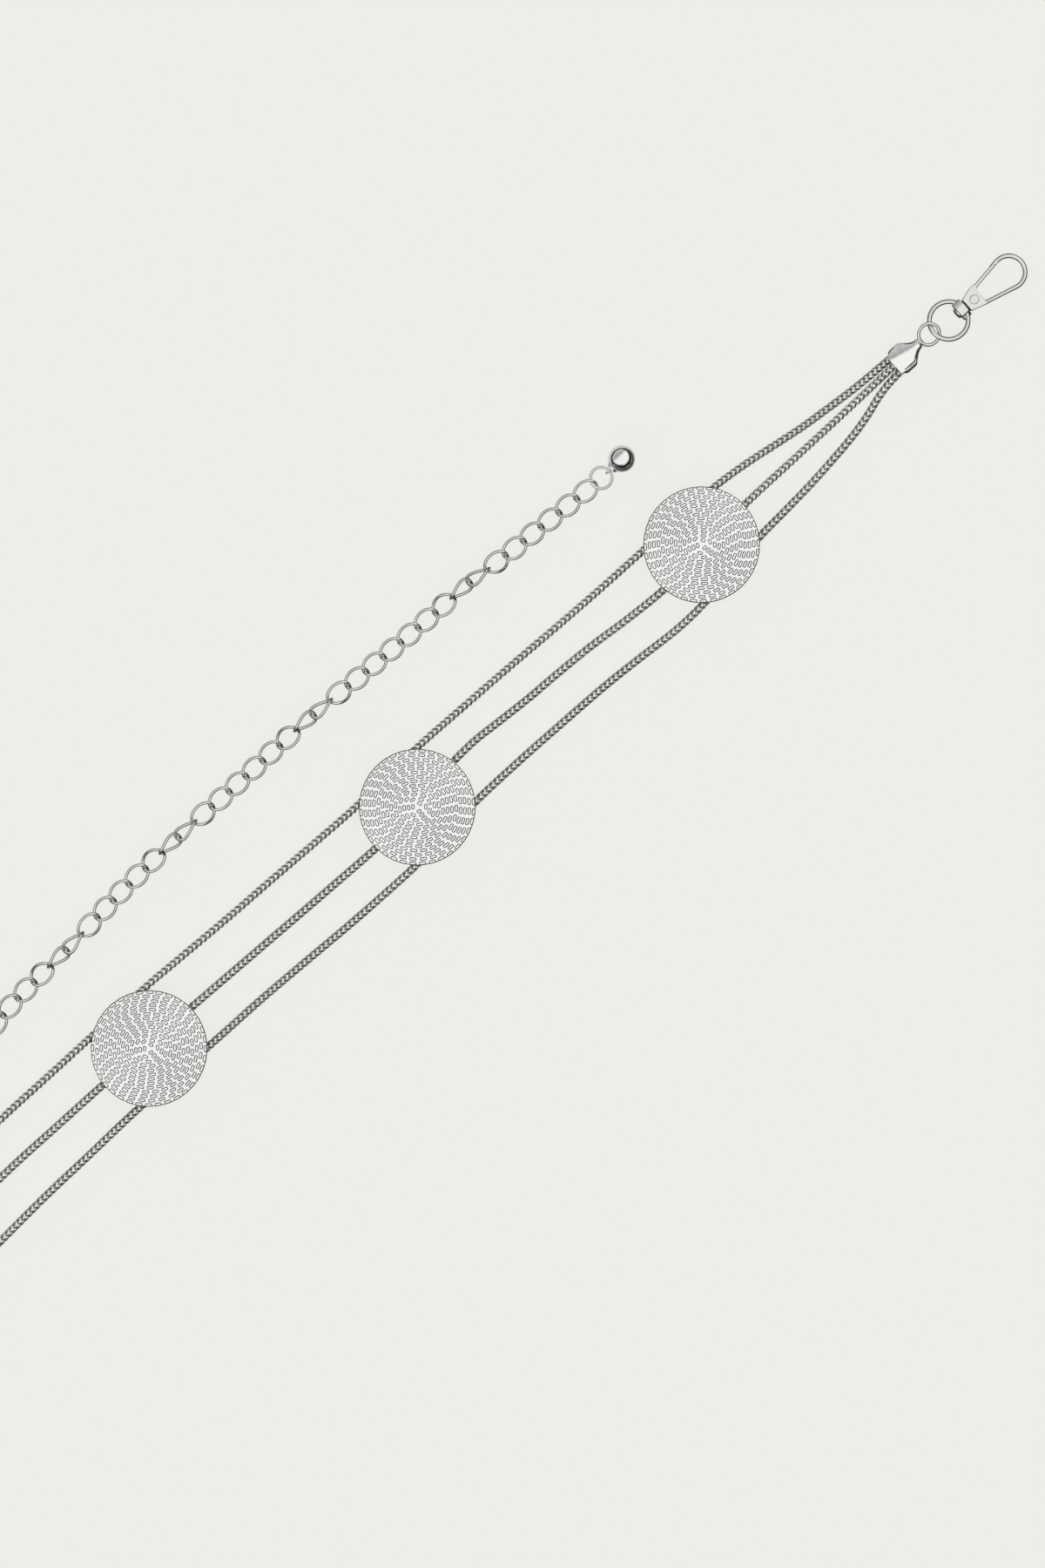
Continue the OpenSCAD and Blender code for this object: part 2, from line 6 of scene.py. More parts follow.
import bpy
import numpy as np
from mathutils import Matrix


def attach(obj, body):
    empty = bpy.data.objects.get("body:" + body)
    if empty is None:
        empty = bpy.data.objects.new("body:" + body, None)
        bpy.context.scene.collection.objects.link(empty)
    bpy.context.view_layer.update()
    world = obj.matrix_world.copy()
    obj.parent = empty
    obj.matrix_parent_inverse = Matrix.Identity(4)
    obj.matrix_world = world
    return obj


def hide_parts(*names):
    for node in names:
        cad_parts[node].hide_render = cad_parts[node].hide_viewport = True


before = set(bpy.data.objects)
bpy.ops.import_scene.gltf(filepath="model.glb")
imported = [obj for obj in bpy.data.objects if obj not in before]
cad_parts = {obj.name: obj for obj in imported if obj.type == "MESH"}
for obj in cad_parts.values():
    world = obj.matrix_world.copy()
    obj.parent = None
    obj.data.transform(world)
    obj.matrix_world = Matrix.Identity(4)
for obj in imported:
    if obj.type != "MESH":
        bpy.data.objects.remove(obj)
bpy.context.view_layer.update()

MM = 0.001
SEED = 17

# Strands, discs and caps, with the sizes and routes of the part's source
STRAND_D = 2.9
DISC_R = 20.0
DISC_WALL = 1.2
DOME_RISE = 1.3
STAPLE_WALL = 0.8
STAPLE_L = 3.0
SLIP = 0.1
DISC_Z = STAPLE_WALL + STRAND_D + 2 * SLIP
MARK_L = 2.3
MARK_W = 1.0
MARK_H = 0.35

# Discs: x, y, heading of the belt under the disc, turn of its pattern
DISCS = [
    [257, 0, 0, 149.5],
    [124, -0.8, 0, 133],
    [0, 0, 0, 17.3],
    [-121.7, -3.2, 8, 70],
    [-171.3, 62.4, 212, 250],
]
# Rings of raised marks from the centre outwards: number of marks, turn of the ring
MARK_RINGS = [
    [3, 0], [6, 7], [9, 8], [12, 12], [15, -1], [17, 6], [20, -1],
    [22, 1], [25, -4], [28, 0], [30, 0], [32, 0], [36, 0],
]
RING_PITCH = (DISC_R - MARK_W / 2 - 0.1) / len(MARK_RINGS)
# Levels of a raised mark: height over the dome, how far its outline is drawn in, and a depth mark that
# darkens its root and sides as painted shade
MARK_LEVELS = [
    [-0.06, -0.12, 0], [0.08, -0.02, 0.08], [0.17, 0.06, 0.2], [0.25, 0.15, 0.42], [0.31, 0.25, 0.8],
    [MARK_H, 0.36, 1],
]
MARK_CORNER = 0.36
# Length of a mark as a share of the full one: at the centre, and what each ring adds to it
MARK_SHARE = 0.62
MARK_GROWTH = 0.07
MARK_STRAY = 0.25
# Width of a disc's rounded rim, and the broken edges and round corners of its staples
RIM = 0.55
STAPLE_EDGE = 0.15
STAPLE_CORNER = 0.5

CAP_L = 12.5
CAP_W = 10.1
CAP_WALL = 0.6
CAP_LIFT = CAP_WALL + SLIP
PILE_H = 1.5
CAP_H = 2 * CAP_WALL + STRAND_D + PILE_H + 2 * SLIP
CAP_PITCH = STRAND_D - SLIP / 2
CAP_GRIP = 2.6
NECK_W = 3.1
EYE_Z = 2.7
# End caps: x and y of the eye, heading from mouth to eye
CAP_CLASP = [359.9, 0.8, 0]
CAP_EXTENDER = [-74.1, 41.3, -22]
# Half of a cap's plan: share of its length from the eye, share of its half width
CAP_PLAN = [
    [-1, 0.68], [-0.91, 0.82], [-0.84, 1], [-0.5, 1], [-0.4, 0.76], [-0.31, 0.57], [-0.2, 0.4], [-0.1, 0.33],
]
# Where a cap's leaves end, and where its ridge runs across it: u, v
CAP_END = -0.75
RIDGE = [[-CAP_L, 4.4], [-11, 2.6], [-6, 0.9], [CAP_END, 0.4]]
# The fold in a cap: its place across, half width, depth, and its ends along the cap
FOLD_AT = 3.6
FOLD_W = 0.2
FOLD_DEEP = 0.12
FOLD_ENDS = [-11.3, -5.2]
# The rolled lip at a cap's side: its radius, how far in from the plan it runs, its height and its fall
LIP_R = 0.27
LIP_IN = 0.95
LIP_Z = 4.93
LIP_FALL = 0.12

JUMP_R = 3.775
JUMP_WIRE = 1.15
JUMP_ROLL = 22
# Gap between the ends of a bent ring's wire
SEAM = 0.09

# Routes of the strands between their caps, from the snap hook's end: x and y
ROUTE_UPPER = [
    [338, 4], [330, 4.5], [320, 5.5], [310, 6.6], [300, 8.2], [290, 9.9], [280, 11.2], [270, 11.9], [257, 12],
    [240, 12.1], [220, 12.3], [200, 12.8], [180, 13.5], [160, 14], [140, 14.4], [124, 14.1], [108, 13.5],
    [90, 13.9], [70, 14.5], [50, 15], [30, 15.8], [15, 16.4], [0, 16.5], [-15, 16.4], [-35, 16.4],
    [-55, 16.4], [-80, 15.5], [-105, 12.5], [-126, 10.4], [-146, 5], [-160, 4], [-172, 9], [-180, 20],
    [-181, 34], [-175, 45], [-164, 53], [-152, 58.5], [-138, 58.5], [-120, 53.4], [-102, 47],
]
ROUTE_MIDDLE = [
    [338, 0.75], [320, 0.5], [300, 0.4], [280, 0.3], [268, -0.3], [257, -1.2], [246, -2.1], [235, -2.6],
    [220, -1.6], [205, -0.1], [190, 0.7], [178, 1.1], [165, 2], [154, 2.8], [143, 2.4], [133, 1.4],
    [124, 0.4], [114, -0.8], [104, -1.6], [88, -1.3], [70, -0.8], [50, -0.2], [30, 0.4], [15, 0.8], [0, 1.1],
    [-15, 1.4], [-40, 1.6], [-67, 1.6], [-95, 0], [-124, -2.5], [-145, -6.5], [-163, -4.7], [-177, 4],
    [-186, 18], [-188, 34], [-183, 50], [-170.4, 63], [-153, 69], [-136, 66], [-118, 59], [-100, 51.8],
]
ROUTE_LOWER = [
    [341, -2.6], [336, -3.6], [331, -5.1], [325, -6.6], [318, -7.8], [309, -8.9], [298, -10], [285, -10.8],
    [273, -11.5], [257, -13.4], [246, -15.3], [232, -15.8], [215, -14.5], [200, -13.5], [180, -13],
    [160, -12.7], [141, -12.9], [124, -14.2], [110, -15.3], [95, -15.3], [80, -15], [60, -14.2], [40, -13.5],
    [20, -13.3], [0, -13], [-20, -12.8], [-40, -13.2], [-62, -13.6], [-92, -15], [-122, -16.4], [-140, -18],
    [-156, -16.5], [-170, -10.5], [-182, -1], [-192, 16], [-195, 35], [-191, 54], [-177, 73.6], [-155, 79],
    [-133, 73], [-115, 64.5], [-98, 55.5],
]
# How far each strand is rolled about its own line: x, roll (0 lies on a flat side, 45 on a corner)
ROLL_UPPER = [[-55, 0], [100, 0], [124, 4], [200, -3], [257, 5], [300, 12], [330, 25], [347, 30]]
ROLL_MIDDLE = [
    [-67, 38], [0, 40], [60, 32], [85, 32], [124, 30], [150, 35], [165, 30], [185, 36], [220, 45], [257, 60],
    [290, 80], [315, 90], [335, 75], [347, 60],
]
ROLL_LOWER = [
    [-81, 45], [30, 20], [55, 25], [80, 30], [96, 45], [124, 45], [200, 30], [225, 45], [300, 45], [325, 45],
]

# Rings of a strand: distance between rings, half the side of the braid, how square it is, lean of the rings
BRAID_PITCH = 1.94
BRAID_HALF = 1.4
BRAID_SQUARE = 2.2
BRAID_LEAN = 0.46
BRAID_STEPS = 16
# Section of a ring's wire: share of its half width along the strand, depth under the outside in the middle
# of a side, what a corner adds to that depth, and a depth mark that darkens the wire's edges, where the
# rings meet, as painted shade
BRAID_SECTION = [
    [-1, 0.5, 0, 0.45], [-0.6, 0.1, 0.08, 0.95], [0, 0, 0.03, 1], [0.6, 0.1, 0.08, 0.95], [1, 0.5, 0, 0.45],
]
# Half width of the wire in the middle of a side, and what a corner adds to it
BRAID_WIRE = 0.66
BRAID_WIRE_MORE = 0.17
# Spread of the rings' roll, of their place along the strand and of their tip
STRAY_ROLL = 1.5
STRAY_ALONG = 0.05
STRAY_TIP = 0.03
# The core's radius, and how much it swells between the rings and shrinks at them
CORE_R = 0.92
CORE_SWELL = 0.08

# Route of the extender's joints from the ball's ring towards its cap: x and y
ROUTE_EXTENDER = [
    [243.9, 40.3], [232, 41], [216, 42.1], [201, 42.9], [190, 44.3], [180, 44.5], [168, 44.7], [152, 45.3],
    [136, 46], [120, 46.8], [105, 47], [88, 46.9], [73, 47], [57, 47.1], [41, 46.9], [25, 46.2], [10, 44.8],
    [0, 44.2], [-15, 43.8], [-31.5, 42.4], [-42, 39.6], [-52, 36.8], [-60, 36.3],
]
# First link of each pair in which the extender is turned over, counted from the ball
TURNED_LINKS = [7, 16, 24, 31]
LINK_WIRE = 0.9
LINK_SHOWN = 1.02
LINK_A = 4.5
LINK_B = 3.25
LINK_SQUARE = 2.3
LINK_TWIST = 40
LINK_PITCH = 2 * LINK_A - LINK_WIRE - SLIP
LINK_HOOK = 2 * LINK_A - LINK_PITCH

# Swivel snap hook: its ring and hub, the place of the hub, the dip of the hook and the roll of the ring
SWIVEL_R = 6.675
SWIVEL_WIRE = 1.65
SWIVEL_AT = [-5.8, 0.3, 0]
SWIVEL_ROLL = -11
HUB_AT = [377.725, -0.55, 2.18766]
HOOK_DIP = 2.75702
HUB_L = 3.2
# Corners of the hub's section, across and up, how sharp they are, and the width of its broken edges
HUB_SECTION = [
    [1.3, 1.9], [3.45, 0.8], [3.45, -0.8], [1.3, -1.9], [-1.3, -1.9], [-3.45, -0.8], [-3.45, 0.8],
    [-1.3, 1.9],
]
HUB_SHARP = 18
HUB_EDGE = 0.22
SHANK_D = 2.0
HEAD_D = 3.7
HEAD_L = 0.8
# Profile of the collar between hub and plate: radius, place along the hook; and how flat the collar is.
# Its depth mark paints it almost black, as painted shade in the gap between hub and plate
COLLAR = [[0, 1.72], [2.0, 1.72], [2.25, 1.8], [2.32, 1.95], [2.32, 2.3], [0, 2.3]]
COLLAR_FLAT = 0.84
PLATE_T = 3.0
PLATE = [[2.2, -2.55], [8.05, -4.4], [8.05, 1.75], [8.9, 1.95], [8.9, 3.9], [6.6, 3.6], [2.2, 2.35]]
PLATE_EDGE = 0.2
PLATE_CORNER = 0.5
# The plate between its two cheeks, which leaves room for the gate
PLATE_CORE = [
    [2.25, -2.5], [8.0, -4.3], [8.0, 1.35], [7.3, 1.5], [6.75, 2.1], [6.6, 2.8], [6.5, 3.5], [2.25, 2.3],
]
CORE_EDGE = 0.02
RIVET_AT = [5.4, -0.25]
RIVET_D = 3.4
RIVET_H = 0.35
LOOP_AT = [20.85, -1.35]
LOOP_R = 5.65
LOOP_WIRE = 1.6
ARM_D = 1.4
ARM_FROM = [7, -3.45]
ARM_L = 12.82
ARM_TURN = -15.165
GATE_AT = [7.9, 2.7]
GATE_TURN = 7.009
GATE_T = 1.4
GATE_HALF = 0.65
GATE_EYE_R = 1.0
# Upper half of the gate's pin: radius, height
PIN_R = 0.45
PIN = [[0, 1.56], [0.3, 1.55], [0.42, 1.5], [PIN_R, 1.4]]
# Nose of the hook along the gate: its end, its top and underside, the length and lip of its slanted cut,
# the gate's gap to it, and how far it reaches into the loop's wire
NOSE_FROM = 9.659
NOSE_TOP = 0.85
NOSE_LOW = -0.75
NOSE_CUT = 2.5
NOSE_LIP = 0.22
NOSE_GAP = 0.12
NOSE_IN_LOOP = 0.25

BALL_RING_R = 3.7
BALL_D = 9.2
BALL_EYE_R = 1.35
BALL_EYE_WIRE = 0.8
BALL_DIP = 20
RING_TILT = 6
EYE_FROM_BALL = BALL_D / 2 + 0.3 + BALL_EYE_R
# Profile of the ball's flange: radius, height over the ball's middle
FLANGE = [
    [2.0, -4.3], [2.1, -4.33], [2.15, -4.42], [2.15, -4.75], [2.08, -4.86], [1.9, -4.9], [1.0, -4.9],
    [0, -4.9],
]

# Marks of tone and painted shade, share and depth: of a plain open surface, a strand's core, a disc's plate
# and its staples, and the inside of a cap. A depth below 1 darkens the colour as painted shade: in the pits
# over the core, on the plate between the raised marks, on the staples under the disc and inside the cap
OPEN = (0.5, 1.0)
CORE_SHADE = (0.5, 0.25)
PLATE_SHADE = (0.5, 0.78)
STAPLE_SHADE = (0.4, 0.8)
HOLLOW_SHADE = (0.5, 0.15)

# Scene, in metres: colour of the floor, the card's middle, radii between which it fades, its white, the
# bench's grey, and the camera's place, turn and lens
FLOOR = (0.847, 0.839, 0.799, 1)
CARD_AT = (0.2575, 0.0495, 0.0)
CARD_FADE = (0.012, 0.024)
CARD_WHITE = 0.9
BENCH_GREY = 0.09
CAMERA_AT = (0.1561, -0.0193, 2.25)
CAMERA_TURN = -42.35
CAMERA_LENS = 150


def smooth(t):
    """Eases from 0 to 1: t squared times three less twice t, held at its ends outside that range."""
    t = np.clip(t, 0.0, 1.0)
    return t * t * (3 - 2 * t)


def curve(points, steps=16):
    """Catmull and Rom's curve: each span is the cubic through its two ends whose slope at an end is half the
    chord between the neighbours of that end."""
    p = np.asarray(points, float)
    a, b = np.vstack([p[:1], p[:-2]])[:, None], p[:-1, None]
    c, d = p[1:, None], np.vstack([p[2:], p[-1:]])[:, None]
    t = (np.arange(steps) / steps)[None, :, None]
    spans = 2 * b + (c - a) * t + (2 * a - 5 * b + 4 * c - d) * t**2 + (3 * b - a - 3 * c + d) * t**3
    return np.vstack([(0.5 * spans).reshape(-1, p.shape[1]), p[-1:]])


def lengths_along(points):
    """Length of a run from its first point to each of its points: the sum of the chords up to it."""
    return np.concatenate([[0.0], np.cumsum(np.linalg.norm(np.diff(points, axis=0), axis=1))])


def at_lengths(points, where):
    """Points at given lengths along a run, each on the straight line between its two neighbours."""
    runs = lengths_along(points)
    return np.stack([np.interp(where, runs, points[:, k]) for k in range(points.shape[1])], axis=-1)


def unit(v):
    """Each vector divided by its own length."""
    return v / np.linalg.norm(v, axis=-1, keepdims=True)


def turned(degrees):
    """Cosine and sine of an angle in degrees."""
    return math.cos(math.radians(degrees)), math.sin(math.radians(degrees))


def rotation(axis, degrees):
    """Matrix that turns a point about the x, y or z axis: two rows mix the other two coordinates by the
    cosine and sine of the angle."""
    c, s = turned(degrees)
    i, j = {"x": (1, 2), "y": (2, 0), "z": (0, 1)}[axis]
    m = np.eye(3)
    m[i, i], m[i, j], m[j, i], m[j, j] = c, -s, s, c
    return m


def placed(points, at, *turns):
    """Points turned by each matrix in order, the first one first, and then moved."""
    for m in turns:
        points = points @ m.T
    return points + np.asarray(at, float)


def on_cap(cap, points):
    """Points of a cap's own frame, whose u runs from its mouth to its eye, turned by the cap's heading."""
    return placed(np.asarray(points, float), [cap[0], cap[1], 0], rotation("z", cap[2]))


def on_hook(points):
    """Points of the hook's own frame in their place: dipped, and moved to the hub."""
    return placed(points, HUB_AT, rotation("y", HOOK_DIP))


def on_gate(points):
    """Points of the gate's own frame in the hook's: turned to the gate's line and moved to its hinge."""
    return placed(points, [*GATE_AT, 0], rotation("z", GATE_TURN))


def upright_to_u(points):
    """Points turned so that what stood along z runs along the first axis."""
    return points[:, [2, 0, 1]]


def grid_faces(rows, columns, around=True, closed=False):
    """Four-cornered faces over a grid of points numbered row by row: each joins a point, its neighbour in
    the row and the two above them. around joins the last column to the first, closed the last row to the
    first."""
    r = np.arange(rows if closed else rows - 1)[:, None]
    c = np.arange(columns if around else columns - 1)[None, :]
    here, right = r * columns + c, r * columns + (c + 1) % columns
    step = ((r + 1) % rows - r) * columns
    return np.stack([here, right, right + step, here + step], axis=-1).reshape(-1, 4)


def tube_faces(rows, columns):
    """Faces of a tube made of rings of points, with one flat face over each end."""
    k = np.arange(columns)[None]
    return [grid_faces(rows, columns), k[:, ::-1], k + (rows - 1) * columns]


def repeated(faces, points_each, copies):
    """The faces of one shape for every copy of it: a copy's corner numbers start where the last one's end."""
    starts = np.arange(copies)[:, None, None] * points_each
    return (faces[None] + starts).reshape(-1, faces.shape[1])


def facing_out(points, faces):
    """The faces, turned over where the closed shape that they make would be inside out: its volume, summed
    over the faces as a sixth of each triangle's corner product, has to be positive."""
    volume = 0.0
    for f in faces:
        for k in range(1, f.shape[1] - 1):
            a, b, c = points[f[:, 0]], points[f[:, k]], points[f[:, k + 1]]
            volume += np.einsum("ij,ij->", a, np.cross(b, c))
    return faces if volume > 0 else [f[:, ::-1] for f in faces]


class Shape:
    """Points, faces and a mark of tone and painted shade for each point, gathered from several surfaces into
    one mesh. place carries their points from their own frame. The mark is (share, depth): share shifts
    the tone a little; depth is 0 in a recess and 1 in the open, and below 1 it darkens the colour as
    painted shade."""

    def __init__(self, place=None):
        self.place, self.points, self.faces, self.marks, self.count = place, [], [], [], 0

    def add(self, points, faces, marks=OPEN, at=(0, 0, 0)):
        """Takes in a closed surface, moved by at in its own frame."""
        points = np.asarray(points, float).reshape(-1, 3) + at
        if self.place:
            points = self.place(points)
        self.points.append(points)
        self.faces += [f + self.count for f in facing_out(points, faces)]
        self.marks.append(np.broadcast_to(np.asarray(marks, float), (len(points), 2)))
        self.count += len(points)

    def piece(self, name, material, body, slot, *nodes, sharp=None):
        """Makes the mesh, stores its marks of tone and painted shade, gives it its material, and puts it on
        its body in place of the CAD nodes.
        """
        points, marks = np.vstack(self.points) * MM, np.vstack(self.marks)
        sizes = np.concatenate([np.full(len(f), f.shape[1]) for f in self.faces])
        corners = np.concatenate([f.ravel() for f in self.faces])
        mesh = bpy.data.meshes.new(name)
        mesh.vertices.add(len(points))
        mesh.vertices.foreach_set("co", points.ravel())
        mesh.loops.add(len(corners))
        mesh.loops.foreach_set("vertex_index", corners.astype(np.int32))
        mesh.polygons.add(len(sizes))
        mesh.polygons.foreach_set("loop_start", (np.cumsum(sizes) - sizes).astype(np.int32))
        mesh.polygons.foreach_set("use_smooth", np.ones(len(sizes), bool))
        mesh.update(calc_edges=True)
        # Marks: a share of random tone, and a depth that below 1 darkens the colour as painted shade
        layer = mesh.uv_layers.new(name="finish")
        layer.data.foreach_set("uv", marks[corners].astype(np.float32).ravel())
        if sharp:
            mesh.set_sharp_from_angle(angle=math.radians(sharp))
        mesh.materials.append(material)
        piece = bpy.data.objects.new(name, mesh)
        bpy.context.scene.collection.objects.link(piece)
        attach(piece, body)
        if nodes:
            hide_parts(*nodes)
        return piece


def revolved(profile, steps):
    """A profile of radius and height turned about z: each point becomes (radius cos a, radius sin a, height),
    and an end at radius 0 becomes one point with triangles round it."""
    profile = np.asarray(profile, float)
    a = np.arange(steps) * 2 * np.pi / steps
    r, z = profile[1:-1, :1], profile[1:-1, 1:]
    walls = np.stack([r * np.cos(a), r * np.sin(a), np.repeat(z, steps, 1)], axis=-1)
    points = np.vstack([walls.reshape(-1, 3), [[0, 0, profile[0, 1]]], [[0, 0, profile[-1, 1]]]])
    n, k = len(points), np.arange(steps)
    low = np.stack([np.full(steps, n - 2), (k + 1) % steps, k], axis=1)
    top_row = (len(r) - 1) * steps
    high = np.stack([np.full(steps, n - 1), top_row + k, top_row + (k + 1) % steps], axis=1)
    return points, [grid_faces(len(r), steps), low, high]


def ring_of_profile(profile, steps):
    """A closed profile of radius and height turned about z, which never meets the axis."""
    profile = np.asarray(profile, float)
    a = np.arange(steps) * 2 * np.pi / steps
    r, z = profile[:, :1], profile[:, 1:]
    points = np.stack([r * np.cos(a), r * np.sin(a), np.repeat(z, steps, 1)], axis=-1)
    return points.reshape(-1, 3), [grid_faces(len(profile), steps, closed=True)]


def mirrored(profile):
    """The upper half of a profile, followed by its mirror image below."""
    profile = np.asarray(profile, float)
    return np.vstack([profile, (profile * [1, -1])[::-1]])


def swept(path, radii, sides, closed=False, up=(0, 0, 1)):
    """A round wire along a path: round each point stands a circle across the path's own direction there. Its
    ends are closed by flat faces."""
    path = np.asarray(path, float)
    if closed:
        run = np.roll(path, -1, 0) - np.roll(path, 1, 0)
    else:
        run = np.gradient(path, axis=0)
    run = unit(run)
    side = unit(np.cross(np.asarray(up, float), run))
    high = np.cross(run, side)
    a = (np.arange(sides) + 0.5) * 2 * np.pi / sides
    radii = np.broadcast_to(np.asarray(radii, float), (len(path),))[:, None, None]
    ring = np.cos(a)[None, :, None] * side[:, None] + np.sin(a)[None, :, None] * high[:, None]
    points = (path[:, None] + radii * ring).reshape(-1, 3)
    return points, [grid_faces(len(path), sides, closed=True)] if closed else tube_faces(len(path), sides)


def wire_ring(radius, wire, steps, sides, cut=None):
    """A wire bent round in a circle in the flat: the swept wire with the circle as its path. cut is the angle
    of the seam where its ends meet, a hair apart."""
    gap, spans = (0.0, steps) if cut is None else (SEAM / radius, steps - 1)
    a = np.radians(cut or 0) + gap / 2 + np.arange(steps) * (2 * np.pi - gap) / spans
    path = np.stack([radius * np.cos(a), radius * np.sin(a), 0 * a], axis=1)
    return swept(path, wire / 2, sides, closed=cut is None)


def rounded_outline(half_long, half_wide, corner, per_corner):
    """A rectangle with round corners: a quarter circle of the corner radius about each corner's middle."""
    a = (np.linspace(0, np.pi / 2, per_corner) + np.arange(4)[:, None] * np.pi / 2).ravel()
    ways = np.repeat([[1, 1], [-1, 1], [-1, -1], [1, -1]], per_corner, axis=0)
    middles = ways * [half_long - corner, half_wide - corner]
    return middles + corner * np.column_stack([np.cos(a), np.sin(a)])


def rounded_corners(corners, radius, steps=5):
    """A polygon's outline with its corners rounded: each corner becomes a curve of second degree that starts
    and ends a radius away from it, or a third of a shorter side."""
    p = np.asarray(corners, float)
    to_next, to_last = np.roll(p, -1, 0) - p, np.roll(p, 1, 0) - p
    shorter = np.minimum(np.linalg.norm(to_next, axis=1), np.linalg.norm(to_last, axis=1))
    reach = np.minimum(radius, 0.33 * shorter)[:, None]
    start, end = (p + unit(to_last) * reach)[:, None], (p + unit(to_next) * reach)[:, None]
    t = np.linspace(0, 1, steps)[None, :, None]
    return ((1 - t) ** 2 * start + 2 * t * (1 - t) * p[:, None] + t**2 * end).reshape(-1, 2)


def drawn_in(outline, by):
    """An outline that runs counter-clockwise, moved inwards: each point goes to the left of the line through
    its two neighbours."""
    run = unit(np.roll(outline, -1, 0) - np.roll(outline, 1, 0))
    return outline + by * np.column_stack([-run[:, 1], run[:, 0]])


def stacked(outlines, heights):
    """Flat outlines stood over each other, each at its own height."""
    return np.vstack([np.column_stack([line, np.full(len(line), z)]) for line, z in zip(outlines, heights)])


def bar_with_round_edges(corners, low, high, edge):
    """A flat bar between two heights: its outline, drawn in at the top and bottom along a quarter circle."""
    outline = rounded_corners(corners, PLATE_CORNER)
    a = np.radians([90, 60, 30, 0])
    inwards, off_end = edge * (1 - np.cos(a)), edge * (1 - np.sin(a))
    outlines = [drawn_in(outline, d) for d in (*inwards, *inwards[::-1])]
    heights = (*(low + off_end), *(high - off_end[::-1]))
    return stacked(outlines, heights), tube_faces(len(outlines), len(outline))


def slanted_bar(low, high, half_thick, corner, start, end):
    """A bar whose section is a rectangle with round corners, from low to high across it. Each line of its
    surface starts and ends where the two given functions of its height across say, so that an end may be
    slanted."""
    section = rounded_outline((high - low) / 2, half_thick, corner, 6) + [(high + low) / 2, 0]
    rows = [np.column_stack([f(section[:, 0]), section]) for f in (start, end)]
    return np.vstack(rows), tube_faces(2, len(section))


def dome(r):
    """Height of a disc's top over the underside of its rim: the wall and a parabola that falls to the rim."""
    return DISC_WALL + DOME_RISE * (1 - (r / DISC_R) ** 2)


def strand_run(route, side):
    """A strand's line from cap to cap: the route's curve on the floor, lifted by the staples near each disc
    and by the caps at its ends, with one more point inside each cap. side is its place across the caps."""
    rise = CAP_LIFT + (PILE_H if side == 0 else 0)
    across = side * CAP_PITCH
    mouth, inner, z = -CAP_L - 0.5, CAP_GRIP - CAP_L, STRAND_D / 2 + rise
    mouths = [on_cap(CAP_CLASP, [mouth, across, 0]), on_cap(CAP_EXTENDER, [mouth, -across, 0])]
    flat = curve(np.vstack([mouths[:1], [[x, y, 0] for x, y in route], mouths[1:]]))
    off_disc = np.min([np.hypot(flat[:, 0] - d[0], flat[:, 1] - d[1]) for d in DISCS], axis=0)
    off_mouth = np.min([np.linalg.norm(flat - m, axis=1) for m in mouths], axis=0)
    in_staple = (STAPLE_WALL + SLIP) * smooth((DISC_R + 18 - off_disc) / 16)
    flat[:, 2] = STRAND_D / 2 + np.maximum(in_staple, rise * smooth(1 - off_mouth / 17))
    ends = on_cap(CAP_CLASP, [inner, across, z]), on_cap(CAP_EXTENDER, [inner, -across, z])
    return np.vstack([ends[0], flat, ends[1]])


def braid_radius(angle):
    """Distance from a strand's middle to its outside: a square with round corners, the half side divided by
    the sum of the cosine and the sine, each raised to the same power, taken back by that power's root."""
    c, s = np.abs(np.cos(angle)), np.abs(np.sin(angle))
    return BRAID_HALF / (c**BRAID_SQUARE + s**BRAID_SQUARE) ** (1 / BRAID_SQUARE)


